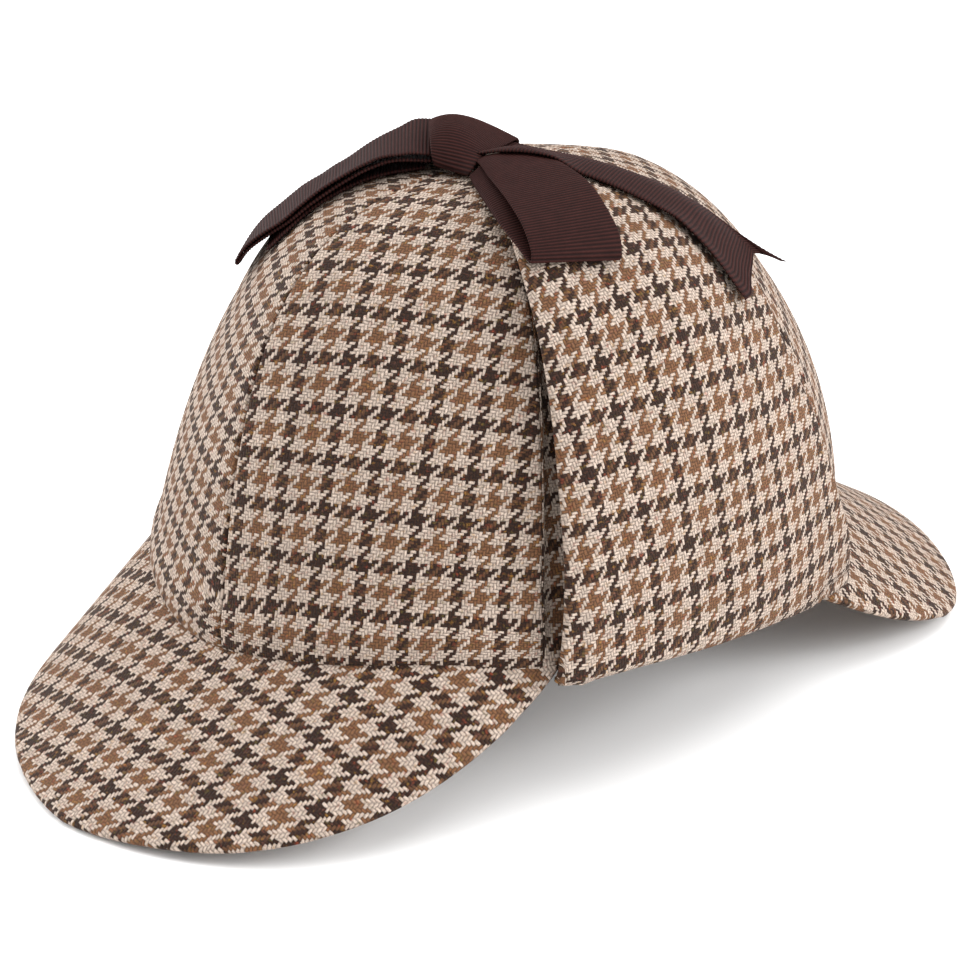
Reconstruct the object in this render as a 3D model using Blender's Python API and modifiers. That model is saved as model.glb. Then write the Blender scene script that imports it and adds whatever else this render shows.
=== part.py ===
"""Deerstalker hat with both ear flaps turned up and tied over the crown by a ribbon bow.

The front of the hat faces -Y and +X is the wearer's left. Points are worked out in millimetres
about the crown's own axis and turned to metres when a mesh is made. At the end every piece is
shifted so that the origin is the middle of the hat's footprint, on the ground under it.
"""

from collections import namedtuple
import math

import bpy
from mathutils import Vector
from mathutils.bvhtree import BVHTree
import numpy as np

COLLECTION_NAME = "deerstalker_hat"
MM = 0.001

# Crown: an oval dome of six panels. Turn is measured from +X towards +Y, in degrees, and climb
# runs from 0 at the lower edge to 1 at the apex.
HALF_WIDTH = 85.5
HALF_LENGTH_FRONT = 102.5
HALF_LENGTH_BACK = 102.8
CROWN_HEIGHT = 108.3
APEX_SHIFT = -6.8
BELLY_SHIFT = 5.9
DOME_ROUNDNESS = 2.23
DOME_FULLNESS = 2.815
BACK_FULLNESS = 0.34
EDGE_SQUARENESS = 2.19
TOP_SQUARENESS = 1.71
PANEL_FLATNESS = 0.034
FRONT_SEAM_SWAY = 3.1
CROWN_WALL = 2.0
PANEL_SPAN = 60.0
PANEL_COLUMNS = 8
PANEL_CLIMBS = (0.0, 0.08, 0.18, 0.29, 0.4, 0.5, 0.6, 0.7, 0.79, 0.87, 0.94, 0.9966)
SIDE_PANEL_FOOT = 0.002
PANEL_GAP = 1.25
GAP = 0.3

# Height of the crown's lower edge above the ground: front height, then the rise at each angle
# from the front. Both sides are alike.
EDGE_HEIGHT = 34.5
EDGE_ANGLE = (0, 22, 45, 60, 75, 90, 105, 118, 130, 145, 160, 180)
EDGE_RISE = (0.0, 2.3, 4.7, 2.5, 2.3, 0.7, -1.2, -3.4, -4.1, -2.1, 0.5, 2.3)

# Peaks: the crown's edge carried forward or back along one slope. half_span is the angle on
# either side of the centre, squareness and bluntness shape the outline, fan is the angle by which
# the sides spread and arch is how far the sides hang lower than the middle.
Peak = namedtuple("Peak", "name direction half_span length squareness bluntness fan arch")
PEAKS = (
    Peak("front_peak", -1, 61.8, 56.3, 5.05, 0.65, 2.4, 4.2),
    Peak("back_peak", 1, 69.6, 66.0, 3.5, 0.204, 6.7, -0.4),
)
PEAK_THICKNESS = 2.5
PEAK_COLUMNS = 30
PEAK_ROWS = (0.0, 0.3, 0.6, 0.84, 1.0)
PEAK_LEAST_LENGTH = 1.5

# Ear flaps: each is folded at its foot, which is tucked under the crown's edge, and turned up. Its
# front stands off the crown and its back leans on it. The right one is the mirror of the left one,
# drawn less far forward and with its front closer to the crown. Turns are those of the left side, at
# each climb.
Flap = namedtuple("Flap", "name mirror drawn_back tip closeness")
FLAPS = (
    Flap("ear_flap_left", 1, 0.0, 0.958, 0.0),
    Flap("ear_flap_right", -1, 14.0, 0.93, 0.75),
)
FLAP_THICKNESS = 2.8
FLAP_COLUMNS = 14
FLAP_EDGE_CLIMB = (0.0, 0.07, 0.15, 0.25, 0.36, 0.45, 0.55, 0.7, 1.0)
FLAP_FRONT_EDGE = (-29.3, -29.9, -31.0, -32.3, -33.0, -33.3, -33.6, -33.7, -33.7)
FLAP_BACK_EDGE = (31.5, 28.7, 25.6, 24.0, 23.4, 26.0, 29.5, 31.0, 31.0)
# the foot is tucked between these turns; the corners beyond them hang free, a little lower
FLAP_TUCK_FRONT = -24.5
FLAP_TUCK_BACK = 18.0
FLAP_FREE_DROP = 0.4
FLAP_HEM_RISE = -0.1
FLAP_HEM_DROOP = 1.1
FLAP_STANDOFF = 4.8
# the tucked foot's section: distance outside the crown's face, and rise above the crown's edge
FLAP_TUCK_OUT = (-0.8, 1.5, 3.4)
FLAP_TUCK_RISE = (-1.6, -1.7, -1.2)
# the turned-up wall: climb, and distance of its middle outside the crown's face at the two edges
FLAP_CLIMB = (0.05, 0.13, 0.24, 0.36, 0.48, 0.6, 0.7, 0.79, 0.87, 0.92)
FLAP_FRONT_OUT = (5.3, 5.5, 5.5, 5.4, 5.0, 4.2, 3.2, 2.4, 2.1, 2.0)
FLAP_BACK_OUT = (3.8, 3.2, 3.0, 2.8, 2.6, 2.3, 2.1, 2.0, 2.0, 2.0)
FLAP_LEAN_START = 0.45
FLAP_TIP_OUT = 2.0
TURN_MARGIN = 0.01

# Bow: ribbon strips, each with a heading over the crown. A row gives the near and the far edge
# of the ribbon: reach along the heading, side across it to the left, height above the apex.
RIBBON_THICKNESS = 1.0
RIBBON_ACROSS = 7
RIBBON_STEPS = 2
RIBBON_CLEARANCE = 0.75
LAYER_CLEARANCE = 0.4
FOLD_ROWS = 3
LIFT_STEP = 0.1
LIFT_LIMIT = 15.0
Edge = namedtuple("Edge", "near_reach near_side near_height far_reach far_side far_height")

LOOP_RIGHT_HEADING = 226.6
LOOP_RIGHT = (
    Edge(13.4, 11.2, 4.7, 13.4, -11.2, 9.4),
    Edge(16.6, 12.0, 5.1, 16.8, -12.2, 8.6),
    Edge(20.6, 12.7, 4.9, 21.1, -12.2, 6.5),
    Edge(25.5, 13.0, 4.2, 26.5, -12.2, 3.8),
    Edge(30.6, 13.8, 2.1, 31.7, -12.2, 0.5),
    Edge(35.7, 14.8, -0.5, 37.1, -11.4, -3.6),
    Edge(40.8, 15.4, -3.6, 41.8, -10.6, -7.1),
    Edge(45.8, 16.2, -7.4, 48.0, -10.0, -10.0),
    Edge(50.8, 16.6, -11.6, 53.4, -9.8, -14.0),
    Edge(55.6, 16.2, -14.8, 58.0, -9.8, -18.0),
    Edge(60.6, 15.2, -18.8, 62.4, -9.8, -23.6),
    Edge(63.0, 14.6, -22.2, 65.4, -9.8, -29.0),
    Edge(62.4, 14.6, -23.0, 64.6, -9.8, -29.7),
    Edge(59.2, 15.0, -20.2, 60.8, -9.8, -24.4),
    Edge(53.8, 16.0, -15.8, 55.2, -9.8, -18.0),
    Edge(48.5, 16.4, -11.6, 49.6, -10.0, -13.2),
    Edge(43.4, 15.9, -7.5, 44.0, -10.2, -9.8),
    Edge(38.3, 15.0, -4.0, 38.8, -10.6, -6.4),
    Edge(33.3, 14.0, -1.1, 33.6, -11.2, -3.2),
    Edge(28.1, 13.0, 1.0, 28.2, -11.6, -0.6),
    Edge(21.7, 12.2, 2.9, 21.7, -12.0, 2.0),
    Edge(14.0, 10.8, 2.6, 14.0, -10.8, 2.6),
)

LOOP_LEFT_HEADING = -17.0
LOOP_LEFT = (
    Edge(13.5, -7.2, 2.5, 9.0, 4.0, 1.9),
    Edge(18.6, -8.1, 2.6, 14.5, 7.4, 2.6),
    Edge(23.9, -9.4, 2.4, 21.0, 10.0, 3.4),
    Edge(30.3, -10.6, 1.9, 28.7, 11.0, 3.5),
    Edge(36.4, -11.5, 0.9, 35.6, 11.2, 2.9),
    Edge(42.5, -12.2, -0.7, 43.0, 11.0, 1.2),
    Edge(49.8, -13.0, -3.5, 50.4, 10.7, -2.0),
    Edge(54.8, -13.6, -7.0, 57.0, 10.2, -6.2),
    Edge(56.8, -14.0, -9.4, 60.4, 9.2, -10.4),
    Edge(56.2, -14.4, -11.0, 59.6, 8.8, -12.4),
    Edge(51.6, -15.0, -8.6, 53.4, 8.6, -7.6),
    Edge(42.2, -15.2, -5.1, 43.5, 8.6, -2.4),
    Edge(34.3, -14.0, -3.3, 35.2, 9.0, 0.0),
    Edge(25.4, -12.4, -1.6, 25.4, 8.6, 0.6),
    Edge(17.0, -10.2, 0.0, 14.0, 5.6, 0.6),
)

TAIL_BACK_HEADING = 30.0
TAIL_BACK = (
    Edge(5.0, -11.7, 3.6, 8.2, 12.2, 3.0),
    Edge(10.0, -11.5, 4.8, 13.4, 12.0, 2.0),
    Edge(15.4, -11.4, 6.3, 18.8, 12.0, 1.4),
    Edge(22.0, -11.4, 6.6, 24.6, 12.0, 0.8),
    Edge(30.2, -11.7, 4.0, 31.5, 12.0, -0.8),
    Edge(38.5, -11.8, -0.9, 39.5, 12.0, -3.4),
    Edge(46.5, -11.8, -3.7, 47.5, 12.0, -6.2),
    Edge(55.0, -11.7, -7.4, 55.8, 12.0, -10.0),
    Edge(61.5, -11.7, -12.2, 61.9, 12.2, -13.9),
    Edge(66.2, -11.9, -17.2, 67.2, 12.3, -17.9),
    Edge(70.2, -12.0, -22.4, 71.0, 12.3, -20.9),
)
# the two points of the notched end: the near one is the wider, the far one reaches further
TAIL_NOTCH_PLACE = 0.71
TAIL_NEAR_POINT = 8.0
TAIL_FAR_POINT = 11.0
TAIL_NOTCH_DEPTH = 1.0

TAIL_FRONT_HEADING = 226.6
TAIL_FRONT = (
    Edge(17.0, 8.6, 0.3, 17.0, -15.2, 0.0),
    Edge(25.0, 9.4, -1.1, 24.6, -14.6, -1.6),
    Edge(33.7, 10.8, -4.0, 33.7, -13.2, -4.6),
    Edge(43.3, 14.4, -9.2, 43.3, -9.6, -10.4),
    Edge(49.5, 17.2, -14.2, 49.5, -6.8, -16.0),
    Edge(54.6, 17.6, -19.0, 55.2, -6.4, -21.4),
)

# Bow knot: a wrap of ribbon that runs from the back, over the bow's middle, to its front. A row
# gives its left edge, its middle and its right edge: reach forward along the heading, side and height.
KNOT_HEADING = -43.4
KNOT_ACROSS = 8
Wrap = namedtuple("Wrap", "left_reach left_side left_height mid_reach mid_side mid_height "
                          "right_reach right_side right_height")
KNOT = (
    Wrap(-9.0, -11.0, 1.6, -9.5, -1.0, 1.3, -11.2, 9.6, 1.3),
    Wrap(-12.4, -12.0, 5.2, -12.6, -0.5, 4.2, -12.6, 10.8, 2.6),
    Wrap(-9.8, -12.5, 8.9, -9.0, -2.2, 9.2, -8.8, 9.7, 4.3),
    Wrap(-2.8, -12.7, 10.0, -1.6, -4.2, 11.3, -2.0, 6.8, 4.5),
    Wrap(5.0, -12.7, 9.2, 6.0, -5.2, 10.0, 5.5, 3.4, 4.6),
    Wrap(10.3, -12.4, 7.0, 11.4, -6.5, 5.6, 12.0, 0.3, 4.3),
    Wrap(12.2, -11.5, 2.9, 13.4, -7.5, 1.6, 16.6, -2.6, 1.4),
    Wrap(9.2, -10.6, 1.4, 9.6, -6.5, 1.3, 11.0, -2.4, 1.3),
)

# Colour, roughness and metallic value of each material
TWEED = ("tweed_check", (0.30, 0.22, 0.16), 0.9, 0.0)
RIBBON = ("grosgrain_ribbon", (0.035, 0.018, 0.015), 0.6, 0.0)


def smooth_table(knots, values, x):
    """Read a table of values along a smooth curve that is level at both ends."""
    knots = np.asarray(knots, float)
    values = np.asarray(values, float)
    slopes = np.gradient(values, knots)
    slopes[0] = slopes[-1] = 0.0
    i = np.clip(np.searchsorted(knots, x) - 1, 0, len(knots) - 2)
    span = knots[i + 1] - knots[i]
    s = (x - knots[i]) / span
    start = values[i] * (1 + 2 * s) * (1 - s) ** 2 + span * slopes[i] * s * (1 - s) ** 2
    end = values[i + 1] * s * s * (3 - 2 * s) + span * slopes[i + 1] * s * s * (s - 1)
    return start + end


def signed_power(value, power):
    """Raise a value to a power and keep its sign."""
    return np.sign(value) * np.abs(value) ** power


def edge_height(turn):
    """Height of the crown's lower edge at a turn."""
    from_front = np.abs((np.asarray(turn, float) + 90.0 + 180.0) % 360.0 - 180.0)
    return EDGE_HEIGHT + smooth_table(EDGE_ANGLE, EDGE_RISE, from_front)


def crown_point(turn, climb, out=0.0):
    """Point at a distance outside the crown's outer face."""
    angle = np.radians(turn)
    lean = np.radians(90.0 * np.asarray(climb, float))
    fullness = DOME_FULLNESS + BACK_FULLNESS * np.sin(angle)
    reach = np.cos(lean) ** (2.0 / fullness)
    rise = np.sin(lean) ** (2.0 / DOME_ROUNDNESS)
    squareness = EDGE_SQUARENESS + (TOP_SQUARENESS - EDGE_SQUARENESS) * np.minimum(1.5 * rise, 1.0)
    flatness = 1.0 - PANEL_FLATNESS * np.abs(np.sin(3.0 * (angle + math.pi / 2)))
    half_length = np.where(np.sin(angle) > 0, HALF_LENGTH_BACK, HALF_LENGTH_FRONT)
    x = flatness * (HALF_WIDTH + out) * signed_power(np.cos(angle), 2.0 / squareness)
    y = flatness * (half_length + out) * signed_power(np.sin(angle), 2.0 / squareness)
    drop = (edge_height(turn) - EDGE_HEIGHT) * (1.0 - rise) ** 2
    z = EDGE_HEIGHT + drop + (CROWN_HEIGHT + out) * rise
    back = APEX_SHIFT * rise ** 1.5 + BELLY_SHIFT * np.sin(math.pi * rise)
    return np.stack(np.broadcast_arrays(reach * x, reach * y + back, z), axis=-1)


def make_material(name, colour, roughness, metallic):
    """Principled material of one colour."""
    material = bpy.data.materials.get(name) or bpy.data.materials.new(name)
    material.use_nodes = True
    shader = material.node_tree.nodes["Principled BSDF"]
    shader.inputs["Base Color"].default_value = (*colour, 1.0)
    shader.inputs["Roughness"].default_value = roughness
    shader.inputs["Metallic"].default_value = metallic
    return material


def add_object(name, points, faces, material, collection):
    """Mesh object from points in millimetres."""
    mesh = bpy.data.meshes.new(name)
    mesh.from_pydata((np.asarray(points) * MM).tolist(), [], faces)
    mesh.materials.append(make_material(*material))
    mesh.shade_smooth()
    mesh.set_sharp_from_angle(angle=math.radians(40))
    obj = bpy.data.objects.new(name, mesh)
    collection.objects.link(obj)
    return obj


def add_sheet(name, grid, thickness, placing, material, collection, flip=False, keep=None):
    """Sheet from a grid of points, thickened by Solidify.

    placing is the Solidify offset: -1 puts the thickness behind the faces and 0 centres it.
    keep(row, column) says which cells of the grid have cloth.
    """
    rows, columns = grid.shape[:2]
    faces = []
    for row in range(rows - 1):
        for column in range(columns - 1):
            if keep and not keep(row, column):
                continue
            corner = row * columns + column
            face = (corner, corner + 1, corner + columns + 1, corner + columns)
            faces.append(face[::-1] if flip else face)
    used = sorted({index for face in faces for index in face})
    renumber = {old: new for new, old in enumerate(used)}
    faces = [tuple(renumber[index] for index in face) for face in faces]
    obj = add_object(name, grid.reshape(-1, 3)[used], faces, material, collection)
    solidify = obj.modifiers.new("cloth", "SOLIDIFY")
    solidify.thickness = thickness * MM
    solidify.offset = placing
    solidify.use_even_offset = placing != 0
    return obj


def seam_turn(turn, climb):
    """Turn of a seam at a climb. The front centre one is sewn a little to the left at its foot."""
    sway = FRONT_SEAM_SWAY if turn % 360.0 == 270.0 else 0.0
    return turn + sway * (1.0 - climb) ** 2


def seam_turns(first_seam, climb):
    """Turns of a panel's columns at one climb, held back from its seams by half the gap."""
    seams = np.array([seam_turn(first_seam, climb), seam_turn(first_seam + PANEL_SPAN, climb)])
    stride = np.linalg.norm(crown_point(seams + 0.5, climb) - crown_point(seams - 0.5, climb), axis=-1)
    inset = PANEL_GAP / 2 / stride
    return np.linspace(seams[0] + inset[0], seams[1] - inset[1], PANEL_COLUMNS + 1)


def add_crown(collection):
    """Six crown panels. The two under the flaps stop short of the crown's edge."""
    names = ("front_left", "left", "back_left", "back_right", "right", "front_right")
    for index, name in enumerate(names):
        climbs = np.array(PANEL_CLIMBS)
        if name in ("left", "right"):
            climbs[0] = SIDE_PANEL_FOOT
        first_seam = -90.0 + PANEL_SPAN * index
        grid = np.array([crown_point(seam_turns(first_seam, climb), climb) for climb in climbs])
        add_sheet(f"crown_panel_{name}", grid, CROWN_WALL, -1, TWEED, collection)


def peak_grid(peak, slope):
    """Upper face of a peak at a slope, in radians below the level."""
    across = np.sin(np.linspace(-math.pi / 2, math.pi / 2, PEAK_COLUMNS + 1))
    turns = peak.direction * 90.0 - peak.direction * across * peak.half_span
    start = crown_point(turns, 0.0) - np.array([0.0, 0.0, GAP])
    outline = np.maximum(1.0 - np.abs(across) ** peak.squareness, 0.0) ** peak.bluntness
    length = np.maximum(peak.length * outline, PEAK_LEAST_LENGTH)
    spread = np.radians(peak.fan * across)
    ruling = np.stack([np.sin(spread), peak.direction * np.cos(spread), np.zeros_like(spread)], axis=-1)
    ruling *= math.cos(slope)
    ruling[:, 2] = -math.sin(slope) - peak.arch * across ** 2 / peak.length
    return np.array([start + share * length[:, None] * ruling for share in PEAK_ROWS])


def ground_slope(peak):
    """Slope at which the lowest corner of a peak's lower face just meets the ground."""
    low, high = 0.0, math.radians(60)
    for _ in range(40):
        slope = (low + high) / 2
        grid = peak_grid(peak, slope)
        normals = np.cross(np.gradient(grid, axis=1), np.gradient(grid, axis=0))
        normals /= np.linalg.norm(normals, axis=-1)[..., None]
        lowest = (grid[..., 2] - PEAK_THICKNESS * np.abs(normals[..., 2])).min()
        low, high = (slope, high) if lowest > 0 else (low, slope)
    return slope


def add_peaks(collection):
    """Front and back peak, sloped until both meet the ground."""
    for peak in PEAKS:
        grid = peak_grid(peak, ground_slope(peak))
        add_sheet(peak.name, grid, PEAK_THICKNESS, -1, TWEED, collection, flip=peak.direction < 0)


def flap_turns(flap, shares, climb):
    """Turns at shares of the way from a flap's front edge to its back edge."""
    front = np.interp(climb, FLAP_EDGE_CLIMB, FLAP_FRONT_EDGE) + flap.drawn_back
    back = np.interp(climb, FLAP_EDGE_CLIMB, FLAP_BACK_EDGE)
    return front + shares * (back - front)


def flap_shares(flap):
    """Shares of the way back for a flap's columns, with a column at each end of the tucked foot."""
    shares = np.linspace(0.0, 1.0, FLAP_COLUMNS + 1)
    front, back = flap_turns(flap, np.array([0.0, 1.0]), 0.0)
    for end in (FLAP_TUCK_FRONT, FLAP_TUCK_BACK):
        share = (end - front) / (back - front)
        if share > 0.0:
            shares[np.argmin(np.abs(shares[1:-1] - share)) + 1] = share
    return shares


def flap_grid(flap, shares):
    """Middle of an ear flap: tucked foot, then the wall turned up against the crown."""
    lean = np.clip((shares - FLAP_LEAN_START) / (1.0 - FLAP_LEAN_START), 0.0, 1.0)
    lean = flap.closeness + (1.0 - flap.closeness) * lean * lean * (3.0 - 2.0 * lean)
    turns = flap_turns(flap, shares, 0.0)
    rows = []
    for out, rise in zip(FLAP_TUCK_OUT, FLAP_TUCK_RISE):
        foot = crown_point(turns, 0.0, out)
        foot[:, 2] += rise
        rows.append(foot)
    free = (turns < FLAP_TUCK_FRONT - TURN_MARGIN) | (turns > FLAP_TUCK_BACK + TURN_MARGIN)
    hem = crown_point(turns, 0.0, FLAP_STANDOFF - lean * (FLAP_FRONT_OUT[0] - FLAP_BACK_OUT[0]))
    hem[:, 2] += FLAP_HEM_RISE - FLAP_HEM_DROOP * lean - FLAP_FREE_DROP * free
    rows.append(hem)
    for climb, front, back in zip(FLAP_CLIMB, FLAP_FRONT_OUT, FLAP_BACK_OUT):
        rows.append(crown_point(flap_turns(flap, shares, climb), climb, front + lean * (back - front)))
    rows.append(crown_point(flap_turns(flap, shares, flap.tip), flap.tip, FLAP_TIP_OUT))
    return np.array(rows) * (flap.mirror, 1.0, 1.0)


def add_flaps(collection):
    """Left and right ear flap."""
    foot_rows = len(FLAP_TUCK_OUT)
    for flap in FLAPS:
        shares = flap_shares(flap)
        turns = flap_turns(flap, shares, 0.0)

        def has_cloth(row, column):
            tucked = turns[column] > FLAP_TUCK_FRONT - TURN_MARGIN
            return row >= foot_rows or tucked and turns[column + 1] < FLAP_TUCK_BACK + TURN_MARGIN

        add_sheet(flap.name, flap_grid(flap, shares), FLAP_THICKNESS, 0, TWEED, collection,
                  flip=flap.mirror < 0, keep=has_cloth)


def place(heading, reach, side, height):
    """Point given along and across a heading from the apex."""
    along = np.array([math.cos(math.radians(heading)), math.sin(math.radians(heading)), 0.0])
    across = np.array([-along[1], along[0], 0.0])
    apex = crown_point(0.0, 1.0)
    return apex + reach * along + side * across + height * np.array([0.0, 0.0, 1.0])


def ribbon_grid(heading, edges):
    """Middle of a ribbon strip, along smooth curves through its two edges."""
    near = np.array([place(heading, edge.near_reach, edge.near_side, edge.near_height) for edge in edges])
    far = np.array([place(heading, edge.far_reach, edge.far_side, edge.far_height) for edge in edges])
    shares = np.linspace(0.0, 1.0, RIBBON_ACROSS + 1)[:, None]
    return smooth_rows(near[:, None] + shares * (far - near)[:, None])


def smooth_rows(rows):
    """Rows along the smooth curve through the given rows."""
    slopes = np.gradient(rows, axis=0)
    smooth = []
    for row in range(len(rows) - 1):
        for step in range(RIBBON_STEPS):
            s = step / RIBBON_STEPS
            start = rows[row] * (1 + 2 * s) * (1 - s) ** 2 + slopes[row] * s * (1 - s) ** 2
            end = rows[row + 1] * s * s * (3 - 2 * s) + slopes[row + 1] * s * s * (s - 1)
            smooth.append(start + end)
    smooth.append(rows[-1])
    return np.array(smooth)


def surface_below(names):
    """Search tree over the finished shapes of the named objects."""
    bpy.context.view_layer.update()
    graph = bpy.context.evaluated_depsgraph_get()
    corners = []
    faces = []
    for name in names:
        mesh = bpy.data.objects[name].evaluated_get(graph).to_mesh()
        first = len(corners)
        corners += [vertex.co / MM for vertex in mesh.vertices]
        faces += [[first + index for index in polygon.vertices] for polygon in mesh.polygons]
    return BVHTree.FromPolygons(corners, faces)


def surface_of(grid):
    """Search tree over a grid of points."""
    rows, columns = grid.shape[:2]
    corners = [Vector(point) for point in grid.reshape(-1, 3)]
    faces = []
    for row in range(rows - 1):
        for column in range(columns - 1):
            corner = row * columns + column
            faces.append((corner, corner + 1, corner + columns + 1, corner + columns))
    return BVHTree.FromPolygons(corners, faces)


def needed_lift(point, tree, clearance):
    """Height by which a point must rise to lie clear of the surface below it."""
    down = Vector((0.0, 0.0, -1.0))
    start = Vector(point)
    above = tree.ray_cast(Vector((start.x, start.y, 2.0 * CROWN_HEIGHT)), down)[0]
    lift = max(above.z - start.z, 0.0) if above else 0.0
    while lift < LIFT_LIMIT and tree.find_nearest(start - down * lift)[3] < clearance:
        lift += LIFT_STEP
    return lift


def eased_lift(grid, tree, clearance):
    """Needed lift of every point of a grid, with the raised part eased out around it."""
    lift = np.array([[needed_lift(point, tree, clearance) for point in row] for row in grid])
    around = [(row, column) for row in (0, 1, 2) for column in (0, 1, 2)]
    for combine in (np.max, np.mean):
        padded = np.pad(lift, 1, mode="edge")
        shifted = [padded[row:row + lift.shape[0], column:column + lift.shape[1]] for row, column in around]
        lift = combine(shifted, axis=0)
    return lift


def rest_on(grid, names, fold=None):
    """Raise a ribbon where it would cut into the objects under it.

    fold is the row at which a loop turns back: the rows before it lie over the rows after it.
    """
    raised = grid.copy()
    raised[..., 2] += eased_lift(grid, surface_below(names), RIBBON_THICKNESS / 2 + RIBBON_CLEARANCE)
    if fold:
        upper = raised[:fold - FOLD_ROWS]
        lift = eased_lift(upper, surface_of(raised[fold + FOLD_ROWS:]), RIBBON_THICKNESS + LAYER_CLEARANCE)
        upper[..., 2] += lift
        for step in range(2 * FOLD_ROWS):
            share = 1.0 - (step + 1) / (2 * FOLD_ROWS + 1)
            raised[fold - FOLD_ROWS + step, :, 2] += share * lift[-1]
    return raised


def notched_end(grid):
    """Add a row that leaves a notch between the two points of a ribbon's end."""
    onward = grid[-1] - grid[-2]
    onward /= np.linalg.norm(onward, axis=-1)[:, None]
    shares = np.linspace(0.0, 1.0, RIBBON_ACROSS + 1)
    reach = np.interp(shares, (0.0, TAIL_NOTCH_PLACE, 1.0),
                      (TAIL_NEAR_POINT, TAIL_NOTCH_DEPTH, TAIL_FAR_POINT))
    return np.concatenate([grid, (grid[-1] + onward * reach[:, None])[None]])


def fold_row(edges):
    """Row of a loop's grid at which the loop reaches furthest."""
    return RIBBON_STEPS * int(np.argmax([edge.near_reach for edge in edges]))


def add_bow(collection):
    """Two tails and two loops of ribbon, each resting on what lies under it."""
    cloth = [obj.name for obj in collection.objects if obj.name.startswith(("crown", "ear"))]
    front = ribbon_grid(TAIL_FRONT_HEADING, TAIL_FRONT)
    left = ribbon_grid(LOOP_LEFT_HEADING, LOOP_LEFT)
    right = ribbon_grid(LOOP_RIGHT_HEADING, LOOP_RIGHT)
    back = notched_end(ribbon_grid(TAIL_BACK_HEADING, TAIL_BACK))
    strips = (
        ("bow_tail_front", front, cloth, None),
        ("bow_loop_right", right, cloth + ["bow_tail_front"], fold_row(LOOP_RIGHT)),
        ("bow_loop_left", left, cloth, fold_row(LOOP_LEFT)),
        ("bow_tail_back", back, cloth + ["bow_loop_left"], None),
    )
    for name, grid, under, fold in strips:
        add_sheet(name, rest_on(grid, under, fold), RIBBON_THICKNESS, 0, RIBBON, collection)
    add_sheet("bow_knot", rest_on(knot_grid(), cloth), RIBBON_THICKNESS, 0, RIBBON, collection)


def knot_grid():
    """Middle of the wrap, along smooth curves across and around it."""
    columns = [np.array([place(KNOT_HEADING, *row[first:first + 3]) for row in KNOT]) for first in (0, 3, 6)]
    left, middle, right = columns
    shares = np.linspace(-1.0, 1.0, KNOT_ACROSS + 1)[:, None]
    bend = (left + right)[:, None] / 2 - middle[:, None]
    rows = middle[:, None] + shares * (right - left)[:, None] / 2 + shares ** 2 * bend
    return smooth_rows(rows)


def stand_on_origin(collection):
    """Shift every mesh so that the middle of the hat's footprint is the origin."""
    graph = bpy.context.evaluated_depsgraph_get()
    corners = []
    for obj in collection.objects:
        mesh = obj.evaluated_get(graph).to_mesh()
        points = np.empty(len(mesh.vertices) * 3)
        mesh.vertices.foreach_get("co", points)
        points = points.reshape(-1, 3)
        corners += [points.min(axis=0), points.max(axis=0)]
    low = np.min(corners, axis=0)
    high = np.max(corners, axis=0)
    shift = -Vector(((low[0] + high[0]) / 2, (low[1] + high[1]) / 2, low[2]))
    for obj in collection.objects:
        for vertex in obj.data.vertices:
            vertex.co += shift
        obj.data.update()


def main():
    """Clear the scene and build the hat."""
    for obj in list(bpy.data.objects):
        bpy.data.objects.remove(obj, do_unlink=True)
    collection = bpy.data.collections.new(COLLECTION_NAME)
    bpy.context.scene.collection.children.link(collection)
    add_crown(collection)
    add_peaks(collection)
    add_flaps(collection)
    add_bow(collection)
    stand_on_origin(collection)


main()
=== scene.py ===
import logging
import math
from dataclasses import dataclass
from enum import Enum
from typing import Any, NamedTuple, Optional, Sequence

import bpy
from bpy.types import Material, Node, NodeSocket, NodeTree, Object
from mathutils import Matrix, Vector
from mathutils.bvhtree import BVHTree
import numpy as np


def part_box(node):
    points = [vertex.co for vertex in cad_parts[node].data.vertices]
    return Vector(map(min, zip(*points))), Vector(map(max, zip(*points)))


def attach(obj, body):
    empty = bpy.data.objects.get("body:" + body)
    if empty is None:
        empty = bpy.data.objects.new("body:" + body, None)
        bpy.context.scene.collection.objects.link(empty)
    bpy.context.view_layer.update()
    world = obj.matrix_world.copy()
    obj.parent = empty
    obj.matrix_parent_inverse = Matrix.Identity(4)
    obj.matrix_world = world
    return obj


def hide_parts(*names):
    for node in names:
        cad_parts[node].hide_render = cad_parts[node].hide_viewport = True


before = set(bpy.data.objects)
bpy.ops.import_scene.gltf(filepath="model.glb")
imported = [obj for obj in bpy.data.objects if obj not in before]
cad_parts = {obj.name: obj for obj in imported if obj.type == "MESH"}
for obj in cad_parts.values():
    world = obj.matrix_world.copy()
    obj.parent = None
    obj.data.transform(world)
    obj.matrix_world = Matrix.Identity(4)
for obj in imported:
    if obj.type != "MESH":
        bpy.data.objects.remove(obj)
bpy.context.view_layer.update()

MM = 0.001
CLOTH_MAP = "cloth"
LOG = logging.getLogger("deerstalker")

# the colour sockets of a mix node
MIX_A, MIX_B, MIX_OUT = 6, 7, 2

# where most values of a noise lie
NOISE_SPAN = {"From Min": 0.3, "From Max": 0.7}

# shares of a rim's radius at which its close rows stand, so that it can be rounded
RIM_MARKS = np.array([0.0, 0.08, 0.3, 0.62])

# direction, pace and phase of the slow waves that make up a cloth's unevenness
SOFT_WAVES = (
    ((0.8, 0.5, 0.3), 1.0, 0.7),
    ((-0.4, 0.9, -0.7), 1.3, 2.1),
    ((0.3, -0.6, 1.1), 0.8, 4.0),
)


# --- Helpers ---------------------------------------------------------------


def linear(colour: str) -> tuple[float, float, float, float]:
    """Turn an sRGB hex colour into linear red, green, blue and alpha.

    Args:
        colour: The colour, such as "#c8b4a5".

    Returns:
        The linear colour with full alpha.
    """
    channels = [int(colour[i:i + 2], 16) / 255.0 for i in (1, 3, 5)]
    turned = [c / 12.92 if c <= 0.04045 else ((c + 0.055) / 1.055) ** 2.4 for c in channels]
    return (turned[0], turned[1], turned[2], 1.0)


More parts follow.
